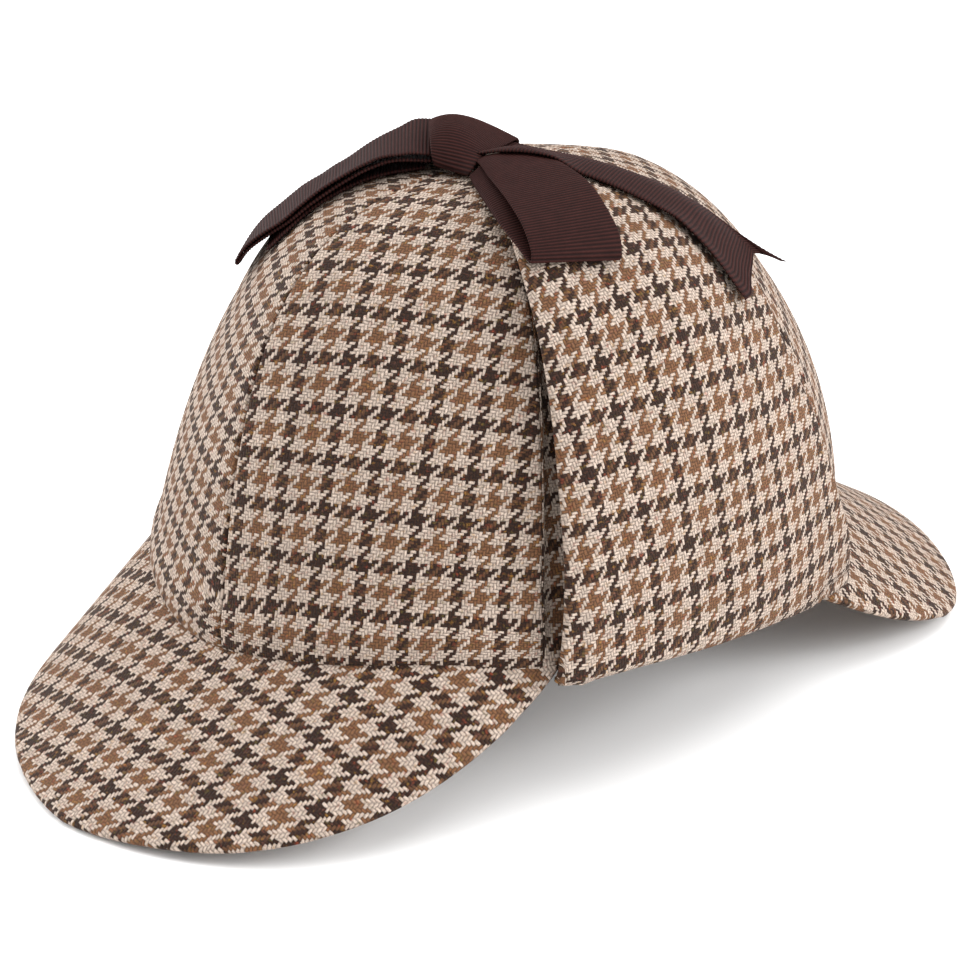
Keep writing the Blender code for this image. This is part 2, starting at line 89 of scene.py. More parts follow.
def add_node(tree: NodeTree, kind: str, inputs: Optional[dict] = None, **settings: Any) -> Node:
    """Add a shader node with its settings and links.

    Args:
        tree: The node tree.
        kind: The node's type, such as "Math".
        inputs: Input name or number to a value, a node (its first output) or an output socket.
        settings: The node's own properties.

    Returns:
        The new node.
    """
    node = tree.nodes.new(f"ShaderNode{kind}")
    for name, value in settings.items():
        setattr(node, name, value)
    for key, value in (inputs or {}).items():
        if isinstance(value, Node):
            tree.links.new(value.outputs[0], node.inputs[key])
        elif isinstance(value, NodeSocket):
            tree.links.new(value, node.inputs[key])
        else:
            node.inputs[key].default_value = value
    return node


def start_material(name: str, values: dict[str, Any]) -> Material:
    """Start a material, with its constant values on the shader's own sockets.

    Args:
        name: The material's name.
        values: Shader socket to value.

    Returns:
        The material.
    """
    material = bpy.data.materials.new(name)
    material.use_nodes = True
    for socket, value in values.items():
        material.node_tree.nodes["Principled BSDF"].inputs[socket].default_value = value
    return material


def cover(material: Material, colour: NodeSocket, height: Node, relief: float, strength: float) -> None:
    """Give a material its patterned colour and the relief of its weave.

    Args:
        material: The material.
        colour: The colour.
        height: The node that gives the weave's height, from 0 to 1.
        relief: What a height of 1 is on the cloth, in millimetres.
        strength: Share of the relief that is shown.
    """
    tree = material.node_tree
    shader = tree.nodes["Principled BSDF"]
    bump = add_node(tree, "Bump", {"Height": height, "Distance": relief * MM, "Strength": strength})
    tree.links.new(colour, shader.inputs["Base Color"])
    tree.links.new(bump.outputs[0], shader.inputs["Normal"])


def ease(s: np.ndarray | float, start: np.ndarray, start_slope: np.ndarray, end: np.ndarray,
         end_slope: np.ndarray) -> np.ndarray:
    """Value on a smooth curve between two values with given slopes.

    Args:
        s: Share of the way, from 0 to 1.
        start: Value at 0.
        start_slope: Slope at 0.
        end: Value at 1.
        end_slope: Slope at 1.

    Returns:
        The value at s.
    """
    first = start * (1 + 2 * s) * (1 - s) ** 2 + start_slope * s * (1 - s) ** 2
    second = end * s * s * (3 - 2 * s) + end_slope * s * s * (s - 1)
    return first + second


def smooth_table(knots: Sequence[float], values: Sequence[float], x: np.ndarray) -> np.ndarray:
    """Read a table of values along a smooth curve that is level at both ends.

    Args:
        knots: Where the values stand, rising.
        values: The values.
        x: Where to read.

    Returns:
        The values at x.
    """
    at = np.asarray(knots, float)
    given = np.asarray(values, float)
    slopes = np.gradient(given, at)
    slopes[0] = slopes[-1] = 0.0
    i = np.clip(np.searchsorted(at, x) - 1, 0, len(at) - 2)
    span = at[i + 1] - at[i]
    return ease((x - at[i]) / span, given[i], span * slopes[i], given[i + 1], span * slopes[i + 1])


def smooth_line(points: np.ndarray, steps: int) -> np.ndarray:
    """Smooth curve through points, each pair joined in a number of steps.

    Args:
        points: The points.
        steps: Steps between one point and the next.

    Returns:
        The points along the curve.
    """
    slopes = np.gradient(points, axis=0)
    smooth = [ease(step / steps, points[row], slopes[row], points[row + 1], slopes[row + 1])
              for row in range(len(points) - 1) for step in range(steps)]
    return np.array([*smooth, points[-1]])


def signed_power(value: np.ndarray, power: np.ndarray | float) -> np.ndarray:
    """Raise a value to a power and keep its sign."""
    return np.sign(value) * np.abs(value) ** power


def lengths(points: np.ndarray, axis: int) -> np.ndarray:
    """Running length along one axis of a grid of points.

    Args:
        points: The points.
        axis: 0 to run from row to row, or 1 from column to column.

    Returns:
        The length at each point, from 0 at the first row or column.
    """
    steps = np.linalg.norm(np.diff(points, axis=axis), axis=-1)
    start = np.zeros_like(np.take(steps, [0], axis=axis))
    return np.cumsum(np.concatenate([start, steps], axis=axis), axis=axis)


def resample(points: np.ndarray, marks: np.ndarray) -> np.ndarray:
    """Read points at given lengths along the line through them.

    Args:
        points: The line.
        marks: Lengths along it.

    Returns:
        The points at those lengths.
    """
    run = lengths(points, 0)
    return np.stack([np.interp(marks, run, column) for column in points.T], axis=-1)


def even_marks(length: float, rim: float, count: int) -> np.ndarray:
    """Marks along a length, close together at both ends so that a rim can be rounded there.

    Args:
        length: The whole length.
        rim: How far from each end the close marks reach.
        count: Number of even steps between the rims.

    Returns:
        The marks, from 0 to the length.
    """
    rim = min(rim, length / 4)
    close = rim * RIM_MARKS
    return np.concatenate([close, np.linspace(rim, length - rim, count + 1), length - close[::-1]])


def grid_normals(grid: np.ndarray) -> np.ndarray:
    """Unit normals of a grid of points.

    Args:
        grid: The points.

    Returns:
        A normal for each, on the side that columns crossed with rows give.
    """
    normal = np.cross(np.gradient(grid, axis=1), np.gradient(grid, axis=0))
    size = np.linalg.norm(normal, axis=-1, keepdims=True)
    return normal / np.maximum(size, 1e-9)


def rounded(distance: np.ndarray, radius: float) -> np.ndarray:
    """Share of the full thickness at a distance from a rounded rim."""
    inside = np.clip(1.0 - distance / radius, 0.0, 1.0)
    return np.sqrt(1.0 - inside ** 2)


def rim_distance(grid: np.ndarray, rim: np.ndarray, block: int = 2000) -> np.ndarray:
    """Distance of each point of a grid from the nearest point of a rim.

    Args:
        grid: The grid's points.
        rim: Points close together along the rim.
        block: How many points are measured at a time.

    Returns:
        The distances.
    """
    points = grid.reshape(-1, 3)
    parts = [points[start:start + block] for start in range(0, len(points), block)]
    nearest = [np.linalg.norm(part[:, None] - rim[None], axis=-1).min(axis=1) for part in parts]
    return np.concatenate(nearest).reshape(grid.shape[:2])


def softness(points: np.ndarray, depth: float, wavelength: float) -> np.ndarray:
    """Slow unevenness of pressed cloth, the same for pieces that meet.

    Args:
        points: Places in millimetres.
        depth: Greatest rise or fall.
        wavelength: Distance between rises.

    Returns:
        The rise at each place.
    """
    waves = [np.sin(2 * math.pi / wavelength * (points @ np.array(way)) * pace + phase)
             for way, pace, phase in SOFT_WAVES]
    return depth * sum(waves) / len(waves)


def flatten(grid: np.ndarray, spine: int) -> np.ndarray:
    """Each row is unrolled with its own length and with the bend that it has within the cloth.

    Args:
        grid: The cloth's points.
        spine: The column along which the cloth's lengthwise threads run.

    Returns:
        Flat places in millimetres, one for each point.
    """
    rows, columns = grid.shape[:2]
    normals = grid_normals(grid)
    flat = np.zeros((rows, columns, 2))
    run = lengths(grid[:, spine], 0)
    for row in range(rows):
        flat[row, spine] = (0.0, run[row])
        for way in (1, -1):
            heading = 0.0 if way > 0 else math.pi
            before = None
            column = spine
            while 0 <= column + way < columns:
                step = grid[row, column + way] - grid[row, column]
                length = float(np.linalg.norm(step))
                if before is not None and length > 1e-6:
                    up = normals[row, column]
                    was = before - up * float(before @ up)
                    now = step - up * float(step @ up)
                    heading += math.atan2(float(np.cross(was, now) @ up), float(was @ now))
                onward = np.array([math.cos(heading), math.sin(heading)])
                flat[row, column + way] = flat[row, column] + length * onward
                before = step if length > 1e-6 else before
                column += way
    return flat


def grid_tree(grid: np.ndarray) -> BVHTree:
    """Search tree over a grid of points.

    Args:
        grid: The points, in millimetres.

    Returns:
        The tree.
    """
    rows, columns = grid.shape[:2]
    first = (np.arange(rows - 1)[:, None] * columns + np.arange(columns - 1)).ravel()
    faces = np.stack([first, first + 1, first + columns + 1, first + columns], axis=-1)
    return BVHTree.FromPolygons([Vector(point) for point in grid.reshape(-1, 3)], faces.tolist())


def surface_tree(objects: Sequence[Object]) -> BVHTree:
    """Search tree over objects' meshes.

    Args:
        objects: The objects.

    Returns:
        The tree, in millimetres.
    """
    corners = []
    faces = []
    for obj in objects:
        first = len(corners)
        corners += [vertex.co / MM for vertex in obj.data.vertices]
        faces += [[first + index for index in polygon.vertices] for polygon in obj.data.polygons]
    return BVHTree.FromPolygons(corners, faces)


# --- Finishes --------------------------------------------------------------


@dataclass(frozen=True)
class WoollenTweed:
    """Woollen gun-club check tweed, a 2/2 twill woven from woollen-spun yarn.

    Groups of four cream, four dark, four cream and four tan threads cross each other both ways, which
    gives the eye cream stars with slanting arms between dark, brown and tan squares. The yarn is soft and
    flecked, so each float is a dull rounded stroke with a shadow beside it.

    Sizes are millimetres on the cloth, and scales are to the millimetre. A wander has a scale and a reach.
    A fleck shows where its noise passes from the first to the second of its spots.
    """

    name: str = "woollen_tweed_gun_club_check"
    cream: str = "#b8a698"
    dark: str = "#2e1a10"
    tan: str = "#704d34"
    group: int = 4
    warp_pitch: float = 0.77
    weft_pitch: float = 0.80
    twill: int = 2
    wander: tuple[tuple[float, float], ...] = ((0.05, 1.3), (0.55, 0.5))
    thread_shade: tuple[float, float] = (0.86, 1.1)
    fuzz_blend: float = 0.5
    flecks: tuple[str, ...] = ("#8c3c25", "#635727", "#a07330", "#764b3e")
    fleck_apart: tuple[float, float] = (31.7, 17.3)
    fleck_scale: float = 0.62
    fleck_spots: tuple[float, float] = (0.6, 0.72)
    fleck_strength: float = 0.5
    haze_scale: float = 2.6
    haze: tuple[float, float] = (0.66, 1.2)
    gap_shade: float = 0.24
    gap_height: float = 0.85
    float_height: float = 0.26
    float_dip: float = 0.6
    fibre_scale: float = 5.5
    fibre_height: float = 0.22
    roughness: float = 0.88
    ior: float = 1.5
    specular: float = 0.25
    sheen: float = 0.09
    sheen_roughness: float = 0.5

    def make(self) -> Material:
        """Make the material.

        Returns:
            The material, whose pattern reads the cloth map in millimetres.
        """
        material = start_material(self.name, {
            "Roughness": self.roughness,
            "IOR": self.ior,
            "Specular IOR Level": self.specular,
            "Sheen Weight": self.sheen,
            "Sheen Roughness": self.sheen_roughness,
            "Sheen Tint": linear(self.cream),
        })
        tree = material.node_tree
        place = self._wandering_place(tree)
        threads = self._threads(tree, place)
        over, height = self._twill(tree, threads)
        colour = self._colour(tree, threads, over, place)
        fibre = add_node(tree, "TexNoise", {"Vector": place, "Scale": self.fibre_scale, "Detail": 2.0})
        rough = add_node(tree, "Math", {0: fibre, 1: self.fibre_height, 2: height}, operation="MULTIPLY_ADD")
        cover(material, self._shaded(tree, colour, place, height), rough, self.float_height, 1.0)
        return material

    def _wandering_place(self, tree: NodeTree) -> NodeSocket:
        """Place on the cloth, with the small wander that soft threads have.

        Args:
            tree: The material's node tree.

        Returns:
            The place in millimetres.
        """
        cloth = add_node(tree, "UVMap", uv_map=CLOTH_MAP).outputs["UV"]
        place = cloth
        for scale, reach in self.wander:
            noise = add_node(tree, "TexNoise", {"Vector": cloth, "Scale": scale, "Detail": 1.0})
            centred = add_node(tree, "VectorMath", {0: noise.outputs["Color"], 1: (0.5, 0.5, 0.5)},
                               operation="SUBTRACT")
            place = add_node(tree, "VectorMath", {0: centred, 1: (reach,) * 3, 2: place},
                             operation="MULTIPLY_ADD").outputs[0]
        return place

    def _threads(self, tree: NodeTree, place: NodeSocket) -> list[dict[str, Node]]:
        """Number of the warp and weft thread at a place, and how far across it the place is.

        Args:
            tree: The material's node tree.
            place: The place on the cloth.

        Returns:
            For the warp and the weft, the nodes "number" and "across", from 0 to 1.
        """
        axes = add_node(tree, "SeparateXYZ", {0: place})
        threads = []
        for axis, pitch in enumerate((self.warp_pitch, self.weft_pitch)):
            count = add_node(tree, "Math", {0: axes.outputs[axis], 1: pitch}, operation="DIVIDE")
            threads.append({"number": add_node(tree, "Math", {0: count}, operation="FLOOR"),
                            "across": add_node(tree, "Math", {0: count}, operation="FRACT")})
        return threads

    def _twill(self, tree: NodeTree, threads: list[dict[str, Node]]) -> tuple[Node, Node]:
        """Work out which thread is on top and how high it stands.

        Args:
            tree: The material's node tree.
            threads: What _threads gives.

        Returns:
            1 where the weft is on top, and the height from 0 to 1.
        """
        warp, weft = threads
        step = add_node(tree, "Math", {0: warp["number"], 1: weft["number"]}, operation="SUBTRACT")
        phase = add_node(tree, "Math", {0: step, 1: 2.0 * self.twill}, operation="FLOORED_MODULO")
        over = add_node(tree, "Math", {0: phase, 1: self.twill - 0.5}, operation="GREATER_THAN")
        first = add_node(tree, "Math", {0: self.twill - 1.0, 1: phase}, operation="SUBTRACT")
        second = add_node(tree, "Math", {0: phase, 1: self.twill}, operation="SUBTRACT")
        heights = []
        for thread, start, other in ((warp, first, weft), (weft, second, warp)):
            run = add_node(tree, "Math", {0: start, 1: other["across"]}, operation="ADD")
            off = add_node(tree, "Math", {0: thread["across"], 1: 2.0, 2: -1.0}, operation="MULTIPLY_ADD")
            square = add_node(tree, "Math", {0: off, 1: off}, operation="MULTIPLY")
            rest = add_node(tree, "Math", {0: 1.0, 1: square}, operation="SUBTRACT", use_clamp=True)
            round_top = add_node(tree, "Math", {0: rest}, operation="SQRT")
            from_middle = add_node(tree, "Math", {0: run, 1: self.twill / 2}, operation="SUBTRACT")
            apart = add_node(tree, "Math", {0: from_middle, 1: from_middle}, operation="MULTIPLY")
            dip = add_node(tree, "Math", {0: apart, 1: -self.float_dip, 2: 1.0}, operation="MULTIPLY_ADD",
                           use_clamp=True)
            heights.append(add_node(tree, "Math", {0: round_top, 1: dip}, operation="MULTIPLY"))
        return over, add_node(tree, "Mix", {"Factor": over, "A": heights[0], "B": heights[1]})

    def _dyed(self, tree: NodeTree, thread: dict[str, Node]) -> tuple[Node, Node]:
        """Colour of a thread by its place in the check.

        Args:
            tree: The material's node tree.
            thread: One of what _threads gives.

        Returns:
            1 where the thread is dark or tan, and its colour.
        """
        dyes = (self.cream, self.dark, self.cream, self.tan)
        repeat = len(dyes) * self.group
        share = add_node(tree, "Math", {0: thread["number"], 1: 1 / repeat, 2: 0.5 / repeat},
                         operation="MULTIPLY_ADD")
        turn = add_node(tree, "Math", {0: share}, operation="FRACT")
        twice = add_node(tree, "Math", {0: turn, 1: 2.0}, operation="MULTIPLY")
        in_pair = add_node(tree, "Math", {0: twice}, operation="FRACT")
        tinted = add_node(tree, "Math", {0: in_pair, 1: 0.5}, operation="GREATER_THAN")
        ramp = add_node(tree, "ValToRGB", {0: turn})
        ramp.color_ramp.interpolation = "CONSTANT"
        stops = ramp.color_ramp.elements
        while len(stops) < len(dyes):
            stops.new(0.5)
        for number, dye in enumerate(dyes):
            stops[number].position = number / len(dyes)
            stops[number].color = linear(dye)
        chance = add_node(tree, "TexWhiteNoise", {"W": thread["number"]}, noise_dimensions="1D")
        shade = add_node(tree, "MapRange", {"Value": chance, "To Min": self.thread_shade[0],
                                            "To Max": self.thread_shade[1]})
        return tinted, add_node(tree, "VectorMath", {0: ramp, "Scale": shade}, operation="SCALE")

    def _colour(self, tree: NodeTree, threads: list[dict[str, Node]], over: Node,
                place: NodeSocket) -> NodeSocket:
        """Colour of the thread on top, with its flecks.

        Where a dark and a tan thread cross, their fuzz mingles and the square is darker and browner.

        Args:
            tree: The material's node tree.
            threads: What _threads gives.
            over: 1 where the weft is on top.
            place: The place on the cloth.

        Returns:
            The colour.
        """
        (warp_tinted, warp), (weft_tinted, weft) = [self._dyed(tree, thread) for thread in threads]
        both = add_node(tree, "Math", {0: warp_tinted, 1: weft_tinted}, operation="MULTIPLY")
        blend = add_node(tree, "Math", {0: both, 1: self.fuzz_blend}, operation="MULTIPLY")
        top = add_node(tree, "Mix", {"Factor": over, MIX_A: warp, MIX_B: weft}, data_type="RGBA")
        darker = add_node(tree, "Mix", {"Factor": 1.0, MIX_A: warp, MIX_B: weft}, data_type="RGBA",
                          blend_type="DARKEN")
        colour = add_node(tree, "Mix", {"Factor": blend, MIX_A: top.outputs[MIX_OUT],
                                        MIX_B: darker.outputs[MIX_OUT]}, data_type="RGBA").outputs[MIX_OUT]
        for number, fleck in enumerate(self.flecks, 1):
            apart = (self.fleck_apart[0] * number, self.fleck_apart[1], 0.0)
            shifted = add_node(tree, "VectorMath", {0: place, 1: apart}, operation="ADD")
            spots = add_node(tree, "TexNoise", {"Vector": shifted, "Scale": self.fleck_scale, "Detail": 3.0})
            some = add_node(tree, "MapRange", {"Value": spots, "From Min": self.fleck_spots[0],
                                               "From Max": self.fleck_spots[1], "To Min": 0.0,
                                               "To Max": self.fleck_strength})
            colour = add_node(tree, "Mix", {"Factor": some, MIX_A: colour, MIX_B: linear(fleck)},
                              data_type="RGBA").outputs[MIX_OUT]
        return colour

    def _shaded(self, tree: NodeTree, colour: NodeSocket, place: NodeSocket, height: Node) -> NodeSocket:
        """Colour with the yarn's uneven fuzz and the shadow between threads.

        Args:
            tree: The material's node tree.
            colour: The threads' colour.
            place: The place on the cloth.
            height: Height of the thread, from 0 to 1.

        Returns:
            The colour.
        """
        fibre = add_node(tree, "TexNoise", {"Vector": place, "Scale": self.haze_scale, "Detail": 5.0})
        haze = add_node(tree, "MapRange", {"Value": fibre, **NOISE_SPAN, "To Min": self.haze[0],
                                           "To Max": self.haze[1]})
        gap = add_node(tree, "MapRange", {"Value": height, "From Max": self.gap_height,
                                          "To Min": self.gap_shade, "To Max": 1.0})
        shade = add_node(tree, "Math", {0: haze, 1: gap}, operation="MULTIPLY")
        return add_node(tree, "VectorMath", {0: colour, "Scale": shade}, operation="SCALE").outputs[0]


@dataclass(frozen=True)
class GrosgrainRibbon:
    """Dark brown grosgrain ribbon, woven with thick wefts under fine warps.

    Its ribs cross the ribbon and catch the light as thin soft lines on a dark, slightly silky ground. The
    hollows between the ribs have painted shade in their colour. Sizes are millimetres on the ribbon.
    """

    name: str = "grosgrain_ribbon_dark_brown"
    ground: str = "#331815"
    # colour of the hollows between the ribs: painted shade
    groove_painted_shade: str = "#180a09"
    bloom: str = "#b58f86"
    rib_pitch: float = 0.95
    warp_pitch: float = 0.3
    relief: float = 0.12
    relief_strength: float = 0.6
    warp_height: float = 0.25
    haze_scale: float = 0.35
    haze: tuple[float, float] = (0.85, 1.15)
    roughness: float = 0.68
    ior: float = 1.53
    specular: float = 0.08
    sheen: float = 0.02
    sheen_roughness: float = 0.35

    def make(self) -> Material:
        """Make the material.

        Returns:
            The material, whose ribs read the cloth map in millimetres.
        """
        material = start_material(self.name, {
            "Roughness": self.roughness,
            "IOR": self.ior,
            "Specular IOR Level": self.specular,
            "Sheen Weight": self.sheen,
            "Sheen Roughness": self.sheen_roughness,
            "Sheen Tint": linear(self.bloom),
        })
        tree = material.node_tree
        cloth = add_node(tree, "UVMap", uv_map=CLOTH_MAP)
        axes = add_node(tree, "SeparateXYZ", {0: cloth})
        waves = []
        for axis, pitch in ((1, self.rib_pitch), (0, self.warp_pitch)):
            turn = add_node(tree, "Math", {0: axes.outputs[axis], 1: 2 * math.pi / pitch},
                            operation="MULTIPLY")
            wave = add_node(tree, "Math", {0: turn}, operation="COSINE")
            waves.append(add_node(tree, "Math", {0: wave, 1: 0.5, 2: 0.5}, operation="MULTIPLY_ADD"))
        rib, warp = waves
        noise = add_node(tree, "TexNoise", {"Vector": cloth, "Scale": self.haze_scale, "Detail": 4.0})
        tone = add_node(tree, "MapRange", {"Value": noise, **NOISE_SPAN, "To Min": self.haze[0],
                                           "To Max": self.haze[1]})
        # painted shade: the colour darkens from the ground to the groove colour in the hollows between ribs
        ground = add_node(tree, "Mix", {"Factor": rib, MIX_A: linear(self.groove_painted_shade),
                                        MIX_B: linear(self.ground)}, data_type="RGBA")
        colour = add_node(tree, "VectorMath", {0: ground.outputs[MIX_OUT], "Scale": tone},
                          operation="SCALE")
        height = add_node(tree, "Math", {0: warp, 1: self.warp_height, 2: rib}, operation="MULTIPLY_ADD")
        cover(material, colour.outputs[0], height, self.relief, self.relief_strength)
        return material


@dataclass(frozen=True)
class PaintedFloor:
    """Matt white painted studio floor, rolled smooth, which gives an even pale ground."""

    name: str = "matt_white_paint_rolled"
    white: str = "#fafafa"
    roughness: float = 0.9

    def make(self) -> Material:
        """Make the material."""
        return start_material(self.name, {"Base Color": linear(self.white), "Roughness": self.roughness})


# --- Cloth -----------------------------------------------------------------


class Slot(Enum):
    """The record's material slots."""

    TWEED = "tweed_check"
    RIBBON = "grosgrain_ribbon"


class Held(Enum):
    """How a cloth is held: sewn to its neighbours along its edges, or folded over itself."""

    STRETCHED = "stretched"
    FOLDED = "folded"


@dataclass
class Cloth:
    """A sheet of cloth as a grid of its middle, with a flat place and a half thickness at each point."""

    middle: np.ndarray
    flat: np.ndarray
    half: np.ndarray
    normals: Optional[np.ndarray] = None

    def make(self, name: str, material: Material, shift: np.ndarray) -> Object:
        """Make a closed mesh: an upper and a lower face that meet at a rounded rim.

        Args:
            name: The object's name.
            material: Its finish.
            shift: Where the crown's axis stands, in millimetres.

        Returns:
            The object.
        """
        rows, columns = self.middle.shape[:2]
        normals = grid_normals(self.middle) if self.normals is None else self.normals
        offset = normals * self.half[..., None]
        points = np.concatenate([self.middle + offset, self.middle - offset]).reshape(-1, 3)
        count = rows * columns
        index = np.arange(count).reshape(rows, columns)
        rim = np.zeros((rows, columns), bool)
        rim[0] = rim[-1] = rim[:, 0] = rim[:, -1] = True
        under = np.where(rim, index, index + count)
        above = [index[:-1, :-1], index[:-1, 1:], index[1:, 1:], index[1:, :-1]]
        below = [under[:-1, :-1], under[1:, :-1], under[1:, 1:], under[:-1, 1:]]
        faces = np.concatenate([np.stack(corners, -1).reshape(-1, 4) for corners in (above, below)])
        used = np.unique(faces)
        renumber = np.zeros(2 * count, int)
        renumber[used] = np.arange(len(used))
        mesh = bpy.data.meshes.new(name)
        mesh.from_pydata(((points[used] + shift) * MM).tolist(), [], renumber[faces].tolist())
        flat = np.concatenate([self.flat.reshape(-1, 2)] * 2)[used]
        layer = mesh.uv_layers.new(name=CLOTH_MAP)
        layer.uv.foreach_set("vector", flat[renumber[faces].ravel()].astype(np.float32).ravel())
        mesh.materials.append(material)
        mesh.shade_smooth()
        piece = bpy.data.objects.new(name, mesh)
        bpy.context.scene.collection.objects.link(piece)
        return piece

    def dress(self, piece: Object, node: str, slot: Slot, held: Held, rests_on: str,
              least_share: float = 0.3) -> None:
        """Hang a piece on the root body, hide the solid that it replaces and log how large its cloth was cut.

        Args:
            piece: The piece.
            node: The solid that it replaces.
            slot: The record's material slot; not used.
            held: How the cloth is held; not used.
            rests_on: What it rests on; not used.
            least_share: Least share of its flat rectangle that a cut outline fills.
        """
        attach(piece, "root")
        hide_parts(node)
        width, length = np.ptp(self.flat.reshape(-1, 2), axis=0) * MM
        grid = self.middle
        sides = np.cross(grid[1:, 1:] - grid[:-1, :-1], grid[1:, :-1] - grid[:-1, 1:])
        area = float(np.linalg.norm(sides, axis=-1).sum() / 2) * MM * MM
        area = min(max(area, least_share * width * length), width * length)
        LOG.info("%s: cut %.0f by %.0f mm", piece.name, width / MM, length / MM)


class Cut(NamedTuple):
    """How a piece was cut from the tweed: where the check starts, its turn in degrees and its ease.

    An ease below 1 is cloth that was pressed together as it was shaped, and one above 1 was stretched.
    """

    start: tuple[float, float] = (0.0, 0.0)
    turn: float = 0.0
    ease: float = 1.0

    def lay(self, flat: np.ndarray) -> np.ndarray:
        """Lay a piece on the tweed.

        Args:
            flat: The piece's flat places.

        Returns:
            Their places on the tweed.
        """
        turn = math.radians(self.turn)
        across, along = flat[..., 0], flat[..., 1]
        turned = np.stack([math.cos(turn) * across - math.sin(turn) * along,
                           math.sin(turn) * across + math.cos(turn) * along], axis=-1)
        return turned / self.ease + np.array(self.start)


# --- Crown, peaks and flaps ------------------------------------------------


@dataclass(frozen=True)
class CrownForm:
    """The dome that every piece is set out from, in millimetres and degrees, as the solids have it."""

    half_width: float = 85.5
    half_length_front: float = 102.5
    half_length_back: float = 102.8
    height: float = 108.3
    apex_shift: float = -6.8
    apex_bend: float = 1.5
    belly_shift: float = 5.9
    dome_roundness: float = 2.23
    dome_fullness: float = 2.815
    back_fullness: float = 0.34
    edge_squareness: float = 2.19
    top_squareness: float = 1.71
    squareness_pace: float = 1.5
    panels: int = 6
    panel_flatness: float = 0.034
    front_seam_sway: float = 3.1
    side_seam_climb: tuple[float, ...] = (0.0, 0.1, 0.2, 0.3, 0.45, 0.7, 1.0)
    side_seam_lead: tuple[float, ...] = (0.8, 2.9, 3.7, 4.0, 3.5, 1.5, 0.0)
    edge_height: float = 34.5
    edge_angle: tuple[float, ...] = (0, 22, 45, 60, 75, 90, 105, 118, 130, 145, 160, 180)
    edge_rise: tuple[float, ...] = (0.0, 2.3, 4.7, 2.5, 2.3, 0.7, -1.2, -3.4, -4.1, -2.1, 0.5, 2.3)

    def edge(self, turn: np.ndarray) -> np.ndarray:
        """Height of the crown's lower edge at a turn."""
        from_front = np.abs((np.asarray(turn, float) + 270.0) % 360.0 - 180.0)
        return self.edge_height + smooth_table(self.edge_angle, self.edge_rise, from_front)

    def seam(self, turn: float, climb: float) -> float:
        """Turn of a seam at a climb: the front centre one is sewn a little to the left at its foot.

        The seams on either side of the front bow forward, so that they show before the ear flaps.

        Args:
            turn: The seam's turn at the apex.
            climb: 0 at the lower edge and 1 at the apex.

        Returns:
            The turn.
        """
        if turn % 360.0 == 270.0:
            return turn + self.front_seam_sway * (1.0 - climb) ** 2
        forward = {330.0: -1.0, 210.0: 1.0}.get(turn % 360.0, 0.0)
        return turn + forward * np.interp(climb, self.side_seam_climb, self.side_seam_lead)

    def point(self, turn: np.ndarray | float, climb: np.ndarray | float, out: float = 0.0) -> np.ndarray:
        """Point at a distance outside the crown's outer face.

        Args:
            turn: Degrees from the wearer's left towards the back.
            climb: 0 at the lower edge and 1 at the apex.
            out: Distance outside the face.

        Returns:
            The point, or an array of them.
        """
        angle = np.radians(turn)
        lean = np.radians(90.0 * np.asarray(climb, float))
        fullness = self.dome_fullness + self.back_fullness * np.sin(angle)
        reach = np.cos(lean) ** (2.0 / fullness)
        rise = np.sin(lean) ** (2.0 / self.dome_roundness)
        change = self.top_squareness - self.edge_squareness
        squareness = self.edge_squareness + change * np.minimum(self.squareness_pace * rise, 1.0)
        wave = np.abs(np.sin(self.panels / 2 * (angle + math.pi / 2)))
        flatness = 1.0 - self.panel_flatness * wave
        half_length = np.where(np.sin(angle) > 0, self.half_length_back, self.half_length_front)
        x = flatness * (self.half_width + out) * signed_power(np.cos(angle), 2.0 / squareness)
        y = flatness * (half_length + out) * signed_power(np.sin(angle), 2.0 / squareness)
        drop = (self.edge(turn) - self.edge_height) * (1.0 - rise) ** 2
        z = self.edge_height + drop + (self.height + out) * rise
        back = self.apex_shift * rise ** self.apex_bend + self.belly_shift * np.sin(math.pi * rise)
        return np.stack(np.broadcast_arrays(reach * x, reach * y + back, z), axis=-1)


class Panel(NamedTuple):
    """A crown panel: its name, its first seam's turn and its cut."""

    name: str
    first_seam: float
    cut: Cut = Cut()

    @property
    def beside_flap(self) -> bool:
        """Whether the panel stands behind an ear flap."""
        return self.name in ("left", "right")


